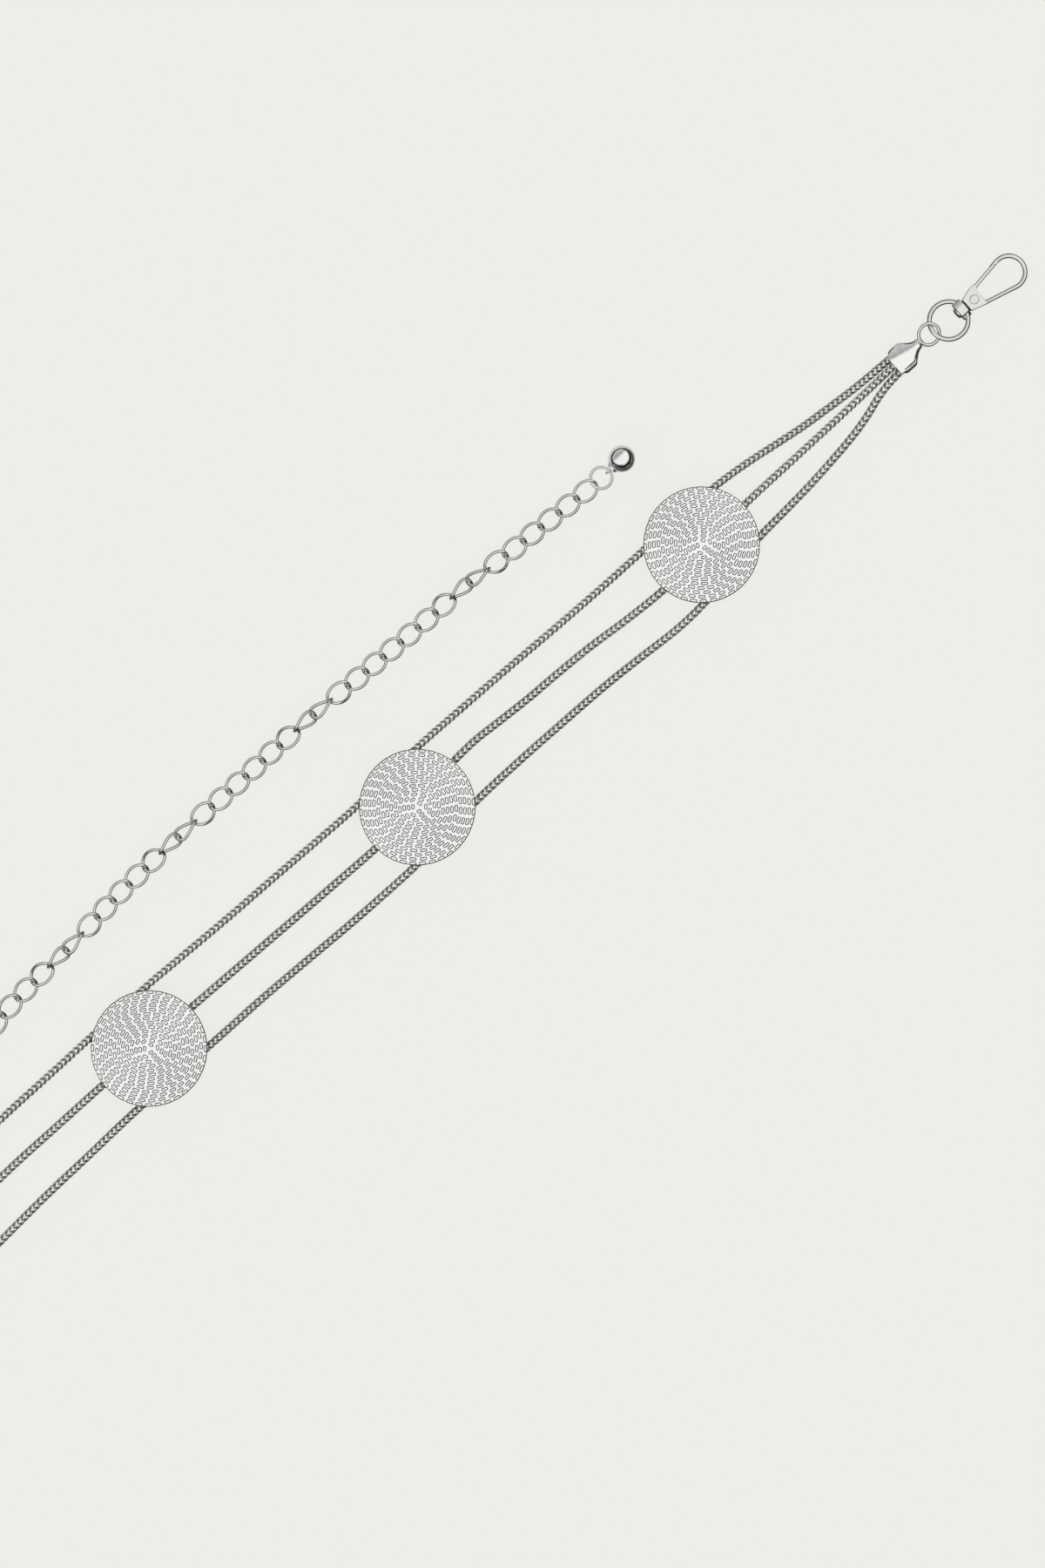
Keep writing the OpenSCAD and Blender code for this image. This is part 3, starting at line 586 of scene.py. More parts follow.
def make_strand(node, run, rolls, material, rng):
    """A braided strand: a stack of closed wavy rings on a core. A ring goes round a square with round
    corners. Across each side it bows along the strand as a parabola does, towards the snap hook in the middle
    and away from it on the corners. Its wire is a little broader on the corners, so that a pit shows between
    the rings on each side. The core swells between the rings by a cosine, and closes the pits."""
    total = lengths_along(run)[-1]
    count = int(total // BRAID_PITCH)
    where = (np.arange(count) + 0.5) * total / count
    middle = at_lengths(run, where)
    ahead = unit(at_lengths(run, np.minimum(where + 1, total)) - at_lengths(run, np.maximum(where - 1, 0)))
    side = unit(np.cross([0, 0, 1], ahead))
    high = np.cross(ahead, side)
    # The x by which the roll is looked up goes on falling after the belt's turn at its far end
    x = middle[:, 0].copy()
    turn = int(np.argmin(x))
    x[turn:] = x[turn] - (where[turn:] - where[turn])
    at_x, roll_there = np.array(rolls, float).T
    roll = np.radians(np.interp(x, at_x, roll_there) + rng.normal(0, STRAY_ROLL, count))[:, None]
    # Each ring stands on the floor or its lift: its middle is as high as the rolled braid reaches down
    around = np.linspace(0, 2 * np.pi, 73)
    rest = np.max(braid_radius(around) * np.cos(around - roll), axis=1)
    middle[:, 2] += rest - STRAND_D / 2

    a = (np.arange(BRAID_STEPS) * 2 * np.pi / BRAID_STEPS)[:, None]
    off_side = np.tan((a + np.pi / 4) % (np.pi / 2) - np.pi / 4) ** 2
    share, depth, deeper, shade_mark = np.array(BRAID_SECTION).T
    along = BRAID_LEAN * (1 - 2 * off_side) + (BRAID_WIRE + BRAID_WIRE_MORE * off_side) * share
    out = braid_radius(a) - depth - off_side * deeper
    shift = rng.normal(0, STRAY_ALONG, (count, 1, 1))
    tip = rng.normal(0, STRAY_TIP, (count, 1, 1)) * np.cos(a)
    angle = a - roll[:, None]
    offsets = np.broadcast_arrays(along + shift + tip, out * np.sin(angle), out * np.cos(angle))
    axes = np.stack([-ahead, side, high], axis=1)[:, None]
    points = middle[:, None, None] + np.stack(offsets, axis=-1) @ axes
    points[..., 2] = np.maximum(points[..., 2], 0)
    each = BRAID_STEPS * len(share)
    # The depth mark darkens each wire's edges, where the rings meet, as painted shade
    marks = np.column_stack([np.repeat(rng.random(count), each), np.tile(shade_mark, BRAID_STEPS * count)])
    shape = Shape()
    shape.add(points, [repeated(grid_faces(BRAID_STEPS, len(share), closed=True), each, count)], marks)

    knots = np.linspace(0, total, 4 * count + 1)
    core = at_lengths(run, knots)
    core[:, 2] += np.interp(knots, where, rest) - STRAND_D / 2
    radii = CORE_R + CORE_SWELL * np.cos(np.arange(len(knots)) * np.pi / 2)
    # The core's depth mark darkens it as painted shade in the pits between the rings
    shape.add(*swept(core, radii, 6), CORE_SHADE)
    shape.piece(node + "_braid", material, "belt", "strand_metal", node)


def add_marks(shape, at, turn, rng):
    """The raised marks of a disc: on each ring, bars with round corners lie across the radius. A bar is its
    outline at six levels, from its sunk root over a round shoulder to its top, tilted with the dome's
    slope."""
    heights, draws, shade_mark = np.array(MARK_LEVELS).T
    for k, (count, ring_turn) in enumerate(MARK_RINGS, start=1):
        inner, outer = (k - 0.5) * RING_PITCH, min(DISC_R, (k + 0.5) * RING_PITCH)
        slope = math.degrees(math.atan2(dome(inner) - dome(outer), outer - inner))
        half_long = MARK_L * min(1, MARK_SHARE + MARK_GROWTH * k) / 2
        outlines = [
            rounded_outline(half_long - d, MARK_W / 2 - d, MARK_CORNER - d * 0.85, 3)[:, ::-1] for d in draws
        ]
        bar = stacked(outlines, heights)
        bar = placed(bar, [k * RING_PITCH, 0, (dome(inner) + dome(outer)) / 2], rotation("y", slope))
        angles = turn + ring_turn + np.arange(count) * 360 / count + rng.normal(0, MARK_STRAY, count)
        points = np.stack([placed(bar, at, rotation("z", angle)) for angle in angles])
        n, each = len(outlines[0]), len(bar)
        # The depth marks darken each mark's root and sides as painted shade
        depths = np.tile(np.repeat(shade_mark, n), count)
        marks = np.column_stack([np.repeat(rng.random(count), each), depths])
        shape.add(points, [repeated(f, each, count) for f in tube_faces(len(heights), n)], marks)


def add_staple(shape, at, heading, top):
    """A square tunnel for a strand: the ring between an outer and an inner outline, with its edges broken a
    little, drawn along the strand."""
    tunnel, half = STRAND_D / 2 + SLIP, STAPLE_L / 2
    broad = tunnel + STAPLE_WALL
    outer = rounded_outline(broad, top / 2, STAPLE_CORNER, 5) + [0, top / 2]
    inner = rounded_outline(tunnel, tunnel, STAPLE_CORNER, 5) + [0, STAPLE_WALL + tunnel]
    middle = outer.mean(0)
    face = middle + (outer - middle) * (1 - STAPLE_EDGE / broad)
    outlines = [outer, outer, face, inner, inner, face]
    ends = [STAPLE_EDGE - half, half - STAPLE_EDGE, half, half, -half, -half]
    points = placed(upright_to_u(stacked(outlines, ends)), [at[0], at[1], 0], rotation("z", heading))
    # The staple's depth mark dims it a little as painted shade under the disc
    shape.add(points, [grid_faces(len(outlines), len(outer), closed=True)], STAPLE_SHADE)


def crossing(run, disc):
    """Where a strand passes the middle of a disc, and its heading there: the place near the disc at which the
    distance ahead along the belt changes sign."""
    c, s = turned(disc[2])
    ahead = (run[:, 0] - disc[0]) * c + (run[:, 1] - disc[1]) * s
    near = np.hypot(run[:, 0] - disc[0], run[:, 1] - disc[1]) < 2 * DISC_R
    i = np.nonzero(near[:-1] & (ahead[:-1] * ahead[1:] <= 0))[0][0]
    step = run[i + 1] - run[i]
    return run[i] + ahead[i] / (ahead[i] - ahead[i + 1]) * step, math.degrees(math.atan2(step[1], step[0]))


def make_disc(number, runs, material, rng):
    """A domed disc: its wall's profile turned about its middle, with a round rim, raised marks on top and a
    staple for each strand underneath."""
    x, y, _, turn = disc = DISCS[number - 1]
    at = np.array([x, y, DISC_Z])
    r = np.array([0, 2, 4, 6, 8, 10, 12, 14, 16, 17.5, 18.6, DISC_R - RIM])
    a = np.radians([70, 50, 25, 0])
    shoulder = np.column_stack([DISC_R - RIM + RIM * np.cos(a), dome(DISC_R - RIM) - RIM + RIM * np.sin(a)])
    foot = [[DISC_R, 0.3], [DISC_R - 0.1, 0.1], [DISC_R - 0.35, 0]]
    under = np.column_stack([r, np.maximum(dome(r) - DISC_WALL, 0)])[-2::-1]
    profile = np.vstack([np.column_stack([r, dome(r)]), shoulder, foot, under])
    shape = Shape()
    # The plate's depth mark dims it a little as painted shade between the raised marks
    shape.add(*revolved(profile, 96), PLATE_SHADE, at)
    add_marks(shape, at, turn, rng)
    for run in runs:
        p, heading = crossing(run, disc)
        add_staple(shape, p, heading, DISC_Z + dome(np.hypot(p[0] - x, p[1] - y)) - DISC_WALL / 2)
    shape.piece(f"disc_{number}_plate", material, "belt", "disc_metal", f"disc_{number}", sharp=50)


def link_points(t, roll_left, roll_right):
    """Points of a link's middle line: x is the half length by the cosine and y the half width by the sine,
    both taken to the power that squares the oval, and y is rolled about x by an angle that grows with x."""
    power = 2 / LINK_SQUARE
    x = LINK_A * np.sign(np.cos(t)) * np.abs(np.cos(t)) ** power
    y = LINK_B * np.sign(np.sin(t)) * np.abs(np.sin(t)) ** power
    roll = np.radians(roll_left + (roll_right - roll_left) * (x / LINK_A + 1) / 2)
    return np.stack([x, y * np.cos(roll), y * np.sin(roll)], axis=-1)


def link_rolls(number):
    """Roll of a link at its clasp end and its ball end: plain, or one of a pair that turns the chain over."""
    if number in TURNED_LINKS:
        return -30, -90
    if number - 1 in TURNED_LINKS:
        return 90, 30
    return -LINK_TWIST, LINK_TWIST


def link_low(number):
    """How far a link reaches below its own middle line."""
    return LINK_WIRE / 2 - link_points(np.radians(np.arange(0, 360, 5)), *link_rolls(number))[:, 2].min()


def make_links(material, rng):
    """The extender: each link is a round wire swept along its middle line, laid between its two joints."""
    hold = (JUMP_WIRE + LINK_WIRE) / 2 + SLIP - LINK_HOOK / 2
    end = on_cap(CAP_EXTENDER, [2 * JUMP_R - hold, 0, EYE_Z])
    line = curve([[x, y, 0] for x, y in ROUTE_EXTENDER] + [[end[0], end[1], 0]], 8)
    total = lengths_along(line)[-1]
    count = math.ceil(total / LINK_PITCH)
    joints = at_lengths(line, np.arange(count + 1) * total / count)
    low = np.array([link_low(i) for i in range(1, count + 1)])
    joints[:, 2] = np.maximum(np.append(low, low[-1]), np.insert(low, 0, low[0]))
    joints[-1, 2] = end[2]
    a = np.radians(np.arange(0, 360, 10))
    shape = Shape()
    for i in range(1, count + 1):
        rolls = link_rolls(i)
        mean = math.radians(sum(rolls) / 2)
        up = (0, -math.sin(mean), math.cos(mean))
        points, faces = swept(link_points(a, *rolls), LINK_SHOWN / 2, 10, closed=True, up=up)
        run = joints[i - 1] - joints[i]
        dip = -math.degrees(math.asin(run[2] / np.linalg.norm(run)))
        heading = math.degrees(math.atan2(run[1], run[0]))
        points = placed(points, (joints[i - 1] + joints[i]) / 2, rotation("y", dip), rotation("z", heading))
        shape.add(points, faces, (rng.random(), 1.0))
    shape.piece("extender_links", material, "belt", "link_metal", "extender_chain")


def ball_ring_from():
    """The point of the ball's ring that lies in the first link."""
    hold = LINK_WIRE + SLIP - LINK_HOOK / 2
    return np.array([ROUTE_EXTENDER[0][0] - hold, ROUTE_EXTENDER[0][1], link_low(3)])


def make_rings(clasp_metal, link_metal):
    """The jump rings in the caps' eyes, rolled to lie on their neighbours, and the ring at the ball."""
    for name, cap, cut in (("jump_ring_clasp", CAP_CLASP, 107), ("jump_ring_extender", CAP_EXTENDER, 70)):
        points, faces = wire_ring(JUMP_R, JUMP_WIRE, 72, 16, cut)
        shape = Shape()
        shape.add(on_cap(cap, placed(points, [JUMP_R, 0, EYE_Z], rotation("x", JUMP_ROLL))), faces)
        shape.piece(name + "_wire", clasp_metal, "belt", "cap_metal", name, sharp=60)
    c, s = turned(RING_TILT)
    points, faces = wire_ring(BALL_RING_R, LINK_SHOWN, 64, 12, 25)
    shape = Shape()
    middle = ball_ring_from() + BALL_RING_R * np.array([c, 0, s])
    shape.add(placed(points, middle, rotation("y", -RING_TILT)), faces)
    shape.piece("ball_ring_wire", link_metal, "belt", "link_metal", "ball_ring", sharp=60)


def make_ball(material):
    """The ball with its flange and eye: a half circle and a flange's profile turned about the ball's own
    line, which dips to the ring, and a small wire ring."""
    c, s = turned(RING_TILT)
    far = ball_ring_from() + 2 * BALL_RING_R * np.array([c, 0, s])
    middle = np.array([far[0] + EYE_FROM_BALL * turned(BALL_DIP)[0], far[1], BALL_D / 2])
    a = np.radians(np.linspace(90, -65, 28))
    ball = BALL_D / 2 * np.column_stack([np.cos(a), np.sin(a)])
    ball[0, 0] = 0
    shape = Shape(lambda points: placed(points, middle, rotation("y", -BALL_DIP)))
    points, faces = revolved(np.vstack([ball, FLANGE]), 64)
    shape.add(placed(points, 0, rotation("y", 90)), faces)
    points, faces = wire_ring(BALL_EYE_R, BALL_EYE_WIRE, 32, 10)
    shape.add(placed(points, [-EYE_FROM_BALL, 0, 0], rotation("x", 90)), faces)
    shape.piece("ball_polished", material, "belt", "ball_metal", "ball_drop", sharp=60)


def cap_half_width(u):
    """Half the width of a cap's plan, on the straight line between the two points of the plan beside u."""
    plan_u, plan_v = np.array(CAP_PLAN).T
    return np.interp(u, plan_u * CAP_L, plan_v * CAP_W / 2)


def cap_leaf(up):
    """One leaf of a folded cap: along the cap its half width follows the plan, and across it its height is
    that of an oval with square shoulders, the power root of one less the share of the full width raised to
    that power. At the mouth the leaf is narrower than the oval, so that its corners are cut, and at the neck
    the oval closes as a quarter circle. The inside is the same oval less the wall, which thickens until it
    closes the neck. up is 1 for the upper leaf and -1 for the lower."""
    u = np.linspace(-CAP_L, CAP_END, 44)[:, None]
    cut = cap_half_width(u)
    eased = np.convolve(np.pad(cut[:, 0], 2, mode="edge"), np.ones(5) / 5, "valid")[:, None]
    width = np.where(u < -0.84 * CAP_L, CAP_W / 2, eased)
    reach = np.where(u > -0.8 * CAP_L, 1.0, np.minimum(cut, width) / width)
    down = np.clip((u + 9.5) / 8, 0, 1) ** 1.2
    nose = np.sqrt(1 - 0.8 * np.clip((u + 1.5) / 0.75, 0, 1) ** 2)
    top, low = CAP_H - 2.2 * down, 0.55 * down
    middle, half = (top + low) / 2, (top - low) / 2 * nose
    power = 2.7 - 0.5 * down
    t = np.linspace(-1, 1, 57)
    across = np.sin(t * np.pi / 2) * reach
    shell = (1 - np.abs(across) ** power) ** (1 / power)
    # The upper leaf falls away on its +v side by a hyperbola, more and more towards the neck, and a fold with
    # a bell curve's section runs down its -v side
    upper = 1 if up > 0 else 0
    ridge_u, ridge_v = np.array(RIDGE).T
    past = across * width - np.interp(u, ridge_u, ridge_v)
    fall = upper * 0.25 * (past + np.sqrt(past**2 + 1))
    ends = smooth((u - FOLD_ENDS[0]) / 0.8) * smooth((FOLD_ENDS[1] - u) / 0.8)
    fold = upper * ends * np.exp(-(((across * width + FOLD_AT) / FOLD_W) ** 2))
    outer = np.stack([across * width, middle + up * ((half - fall) * shell - FOLD_DEEP * fold)], axis=-1)
    wall = CAP_WALL + 6 * smooth((u + 6) / 3.5)
    in_w, in_h = np.maximum(width - wall, 0.05), np.maximum(np.maximum(half - wall, 0.05) - fall, 0.03)
    inner = np.stack([across * in_w, middle + up * in_h * shell], axis=-1)
    loop = np.concatenate([outer, inner[:, ::-1]], axis=1)
    rows, columns = loop.shape[:2]
    points = np.concatenate([np.broadcast_to(u[..., None], (rows, columns, 1)), loop], axis=-1)
    k = np.arange(len(t) - 1)
    lip = np.stack([k, k + 1, columns - 2 - k, columns - 1 - k], axis=1)
    # Painted shade: the inside of the cap is dark, and the outside darkens along the crease of the fold
    marks = np.full((rows, columns, 2), HOLLOW_SHADE)
    marks[:, :len(t)] = np.stack([0 * fold + 0.5, 1 - fold], axis=-1)
    return points, [grid_faces(rows, columns), lip[:, ::-1], lip + (rows - 1) * columns], marks.reshape(-1, 2)


def cap_strap():
    """The strap at a cap's neck: a flat section carried out of the neck and round under the jump ring's wire,
    and rolled with the ring."""
    a = np.radians(np.linspace(195, 300, 16))
    curl = [0.17, EYE_Z] + 1.1 * np.column_stack([np.cos(a), np.sin(a)])
    line = np.vstack([[[-1.6, 2.2], [-1.15, 2.42]], curl])
    run = lengths_along(line)
    half_w, end = NECK_W / 2, run[-1]
    thick = np.interp(run, [0, 0.8, end - 0.4, end], [0.8, 0.6, 0.58, 0.3])[:, None]
    half = np.interp(run, [0, end - 0.8, end], [half_w - 0.2, half_w - 0.15, half_w - 0.5])[:, None]
    roll = (np.radians(0.6 * JUMP_ROLL) * smooth(run / 0.8))[:, None]
    step = unit(np.gradient(line, axis=0))
    section = rounded_outline(1.0, 1.0, 0.35, 4)
    across, through = section[:, 0] * half, section[:, 1] * thick / 2
    flat_u = line[:, :1] - through * step[:, 1:]
    flat_z = line[:, 1:] + through * step[:, :1] - EYE_Z
    c, s = np.cos(roll), np.sin(roll)
    points = np.stack([flat_u, across * c - flat_z * s, across * s + flat_z * c + EYE_Z], axis=-1)
    return points, tube_faces(*across.shape)


def cap_lip():
    """The folded lip along the cap's side: a thin wire that runs just outside the seam of the two leaves, and
    tapers to nothing at its ends."""
    u = np.linspace(-0.84 * CAP_L, -0.42 * CAP_L, 24)
    taper = np.sqrt(np.maximum(np.sin(np.linspace(0.02, 0.98, len(u)) * np.pi), 0.0))
    path = np.column_stack([u, LIP_IN - cap_half_width(u), LIP_Z - LIP_FALL * smooth((u + 8) / 3)])
    return swept(path, LIP_R * taper, 8)


def make_caps(material):
    """The two end caps, each of two leaves, a strap round the jump ring and a lip."""
    for name, cap in (("end_cap_clasp", CAP_CLASP), ("end_cap_extender", CAP_EXTENDER)):
        shape = Shape(lambda points, cap=cap: on_cap(cap, points))
        for surface in (cap_leaf(1), cap_leaf(-1), cap_strap(), cap_lip()):
            shape.add(*surface)
        shape.piece(name + "_folded", material, "belt", "cap_metal", name, sharp=45)


def make_swivel(material):
    """The swivel ring and its hub. The hub's section is the middle of many half planes with its corners
    eased: the reach at an angle is one over the sum of the shares of all sides, each raised to a power and
    taken back by its root. A round bore runs through it."""
    shape = Shape(on_hook)
    ring, faces = wire_ring(SWIVEL_R, SWIVEL_WIRE, 96, 18)
    shape.add(placed(ring + SWIVEL_AT, 0, rotation("x", SWIVEL_ROLL)), faces)
    corners = np.array(HUB_SECTION)
    sides = np.roll(corners, -1, 0) - corners
    normals = unit(np.column_stack([-sides[:, 1], sides[:, 0]]))
    reach = np.einsum("ij,ij->i", normals, corners)
    n = 64
    a = np.arange(n) * 2 * np.pi / n
    way = np.column_stack([np.cos(a), np.sin(a)])
    shares = np.maximum(way @ normals.T / reach, 0)
    section = way / (np.sum(shares**HUB_SHARP, axis=1) ** (1 / HUB_SHARP))[:, None]
    bore, half = way * (SHANK_D / 2 + SLIP), HUB_L / 2
    edge, face = 0.975 * section, 0.94 * section
    outlines = [section, section, edge, face, bore, bore, face, edge]
    ends = [HUB_EDGE - half, half - HUB_EDGE, half - 0.06, half, half, -half, -half, 0.06 - half]
    # The bore's depth mark of 0.2 darkens it as painted shade
    marks = np.repeat([[0.3, 1]] * 4 + [[0.3, 0.2]] * 2 + [[0.3, 1]] * 2, n, axis=0)
    hub = placed(upright_to_u(stacked(outlines, ends)), 0, rotation("x", -SWIVEL_ROLL))
    shape.add(hub, [grid_faces(len(outlines), n, closed=True)], marks)
    shape.piece("swivel_ring_and_hub", material, "belt", "clasp_metal", "swivel_eye", sharp=40)


def nose_cut_at(v):
    """Where the nose's slanted cut lies along the gate: straight from its lip to its underside."""
    return NOSE_FROM + NOSE_CUT * np.maximum(NOSE_TOP - NOSE_LIP - v, 0) / (NOSE_TOP - NOSE_LIP - NOSE_LOW)


def make_hook(material):
    """The hook: two cheeks on a core, a riveted plate, a turned shank, and a wire that runs out along the
    arm, round the loop and back to the nose."""
    shape = Shape(on_hook)
    half, inside = PLATE_T / 2, GATE_T / 2 + SLIP
    # The core between the cheeks has a depth mark of 0.5: painted shade between the cheeks
    for outline, low, high, edge, depth in (
        (PLATE, inside, half, PLATE_EDGE, 1), (PLATE, -half, -inside, PLATE_EDGE, 1),
        (PLATE_CORE, -inside - CORE_EDGE, inside + CORE_EDGE, CORE_EDGE, 0.5),
    ):
        shape.add(*bar_with_round_edges(outline, low, high, edge), (0.4, depth))
    rim, top = RIVET_D / 2, half + RIVET_H
    across = np.linspace(0, 0.88 * rim, 8)
    crown = np.column_stack([across, top - 0.2 * (across / rim) ** 3])
    crown = np.vstack([crown, [[0.93 * rim, top - 0.2], [rim, top - 0.34], [rim, half - 0.1]]])
    shape.add(*revolved(mirrored(crown), 48), (0.7, 1), [*RIVET_AT, 0])
    shape.add(*revolved(mirrored(PIN), 20), (0.7, 1), [*GATE_AT, 0])
    # A depth mark of 0.05 paints the collar almost black: painted shade in the gap between hub and plate
    points, faces = revolved(COLLAR, 40)
    shape.add(upright_to_u(points * [1, COLLAR_FLAT, 1]), faces, (0.2, 0.05))
    inner, head, rod = -HUB_L / 2 - 1.5 * SLIP, HEAD_D / 2, SHANK_D / 2
    points, faces = revolved([
        [0, inner - HEAD_L], [1.3, inner - HEAD_L], [1.65, inner - HEAD_L + 0.1], [head, inner - 0.5],
        [head, inner - 0.15], [1.7, inner], [rod, inner], [rod, 3.0], [0, 3.0],
    ], 32)
    shape.add(upright_to_u(points), faces, (0.6, 1))

    arm = np.array(ARM_FROM) + np.linspace(0, 1, 8)[:-1, None] * ARM_L * np.array(turned(ARM_TURN))
    a = np.radians(np.linspace(ARM_TURN - 90, 90 + GATE_TURN, 60))
    loop = np.array(LOOP_AT) + LOOP_R * np.column_stack([np.cos(a), np.sin(a)])
    path = np.vstack([arm, loop])
    path = np.column_stack([path, np.zeros(len(path))])
    grow = smooth((lengths_along(path) - ARM_L * 0.55) / (ARM_L * 0.6))
    shape.add(*swept(path, ARM_D / 2 + (LOOP_WIRE - ARM_D) / 2 * grow, 16))
    c, s = turned(GATE_TURN)
    end = (LOOP_AT[0] - GATE_AT[0]) * c + (LOOP_AT[1] - GATE_AT[1]) * s + NOSE_IN_LOOP
    points, faces = slanted_bar(NOSE_LOW, NOSE_TOP, LOOP_WIRE / 2, 0.6, nose_cut_at, lambda v: v * 0 + end)
    shape.add(on_gate(points), faces)
    shape.piece("snap_hook_frame", material, "hook", "clasp_metal", "hook_frame", sharp=40)


def make_gate(material):
    """The gate: a bar with a slanted end under the nose, and the round eye on its pin."""
    shape = Shape(lambda points: on_hook(on_gate(points)))
    shape.add(*slanted_bar(
        -GATE_HALF, GATE_HALF, GATE_T / 2, 0.5, lambda v: v * 0,
        lambda v: nose_cut_at(np.maximum(v, SLIP - GATE_HALF)) - NOSE_GAP,
    ), (0.4, 1))
    eye = [[PIN_R, GATE_T / 2], [GATE_EYE_R - 0.15, GATE_T / 2], [GATE_EYE_R, GATE_T / 2 - 0.12]]
    shape.add(*ring_of_profile(mirrored(eye), 32), (0.6, 0.9))
    shape.piece("snap_hook_gate", material, "lever", "clasp_metal", "gate", sharp=40)


# Finishes, with painted shade in the recesses

def put(tree, kind, inputs=(), **modes):
    """A shader node with its modes set and its inputs filled: an output is linked to an input, and anything
    else is set as its value."""
    made = tree.nodes.new("ShaderNode" + kind)
    for mode, choice in modes.items():
        setattr(made, mode, choice)
    for key, value in dict(inputs).items():
        if isinstance(value, bpy.types.NodeSocket):
            tree.links.new(value, made.inputs[key])
        else:
            made.inputs[key].default_value = value
    return made


def worked_out(tree, operation, *values):
    """The result of a Math node on values or outputs."""
    return put(tree, "Math", dict(enumerate(values)), operation=operation).outputs[0]


def carried(tree, value, start, end, low, high, way="SMOOTHSTEP"):
    """A value that goes from low to high while the given one goes from start to end, and is held outside."""
    ends = {"Value": value, "From Min": start, "From Max": end, "To Min": low, "To Max": high}
    return put(tree, "MapRange", ends, interpolation_type=way).outputs["Result"]


def camera_sees(tree, seen, other):
    """A shader that is the first one to the camera and the second one to everything else."""
    path = put(tree, "LightPath")
    return put(tree, "MixShader", {"Fac": path.outputs["Is Camera Ray"], 1: other, 2: seen}).outputs[0]


def group(name, inputs, outputs):
    """An empty shader group: an input has a name, a kind and a value, and an output a name and a kind."""
    tree = bpy.data.node_groups.new(name, "ShaderNodeTree")
    for label, (kind, value) in inputs.items():
        made = tree.interface.new_socket(name=label, in_out="INPUT", socket_type="NodeSocket" + kind)
        made.default_value = value
    for label, kind in outputs.items():
        tree.interface.new_socket(name=label, in_out="OUTPUT", socket_type="NodeSocket" + kind)
    return tree, tree.nodes.new("NodeGroupInput").outputs, tree.nodes.new("NodeGroupOutput").inputs


def handling_marks():
    """Shader group for worn metal: fine scratches from noise drawn out along two directions, and soft smudges
    from broad noise. Scratches give a height, smudges a mask."""
    outputs = {"Scratches": "Float", "Smudges": "Float"}
    tree, given, out = group("handling_marks", {"Smudge Size": ("Float", 60.0)}, outputs)
    place = put(tree, "TexCoord").outputs["Object"]
    heights = []
    for stretch, turn in (((1.0, 0.06, 0.3), 0.5), ((0.06, 1.0, 0.3), -0.35)):
        drawn = put(tree, "Mapping", {"Rotation": (0, 0, turn), "Scale": stretch, "Vector": place})
        noise = {"Vector": drawn.outputs["Vector"], "Scale": 900.0, "Detail": 3.0, "Roughness": 0.6}
        heights.append(put(tree, "TexNoise", noise).outputs["Fac"])
    tree.links.new(worked_out(tree, "ADD", *heights), out["Scratches"])
    smudge = put(tree, "TexNoise", {"Vector": place, "Scale": given["Smudge Size"], "Detail": 2.0})
    tree.links.new(smudge.outputs["Fac"], out["Smudges"])
    return tree


def painted_recess_shade():
    """Shader group for painted shade in the recesses: mixes a dark shade colour and a bright colour by the
    depth mark that each point carries, and lets the share mark dim the bright colour a little."""
    inputs = {"Bright": ("Color", (0.9, 0.9, 0.88, 1)), "Dark": ("Color", (0.05, 0.05, 0.05, 1))}
    tree, given, out = group("painted_recess_shade", inputs, {"Color": "Color"})
    marks = put(tree, "UVMap", uv_map="finish")
    split = put(tree, "SeparateXYZ", {"Vector": marks.outputs["UV"]}).outputs
    tone = worked_out(tree, "MULTIPLY_ADD", split["X"], -0.1, 1.0)
    bright = put(tree, "VectorMath", {0: given["Bright"], "Scale": tone}, operation="SCALE").outputs["Vector"]
    # Depth marks near 0 take the dark colour: painted shade in recesses, pits, creases and between parts
    mixed = {"Factor": carried(tree, split["Y"], 0.0, 0.9, 0.0, 1.0), "A": given["Dark"], "B": bright}
    mix = put(tree, "Mix", mixed, data_type="RGBA")
    tree.links.new(mix.outputs["Result"], out["Color"])
    return tree


def metal(name, groups, bright, dark, rough, scratches, spread=0.1, dents=0.0, metallic=1.0):
    """A metal material: colour with painted shade in the recesses, roughness that the smudges spread,
    scratches as fine bumps, and soft dents as deep as asked for."""
    made = bpy.data.materials.new(name)
    made.use_nodes = True
    tree = made.node_tree
    marks, recess = groups
    shader = tree.nodes["Principled BSDF"].inputs
    shader["Metallic"].default_value = metallic
    worn = put(tree, "Group", node_tree=marks)
    tone = put(tree, "Group", node_tree=recess)
    tone.inputs["Bright"].default_value = (*bright, 1)
    # dark is the colour of the painted shade in the recesses
    tone.inputs["Dark"].default_value = (dark, dark, dark, 1)
    tree.links.new(tone.outputs["Color"], shader["Base Color"])
    smudged = carried(tree, worn.outputs["Smudges"], 0.35, 0.7, rough, rough + spread, "LINEAR")
    tree.links.new(smudged, shader["Roughness"])
    fine = {"Strength": scratches, "Distance": 0.00005, "Height": worn.outputs["Scratches"]}
    bump = put(tree, "Bump", fine)
    if dents:
        broad = put(tree, "Group", node_tree=marks)
        broad.inputs["Smudge Size"].default_value = 220.0
        dented = put(tree, "Bump", {"Distance": dents, "Height": broad.outputs["Smudges"]})
        tree.links.new(dented.outputs["Normal"], bump.inputs["Normal"])
    tree.links.new(bump.outputs["Normal"], shader["Normal"])
    return made


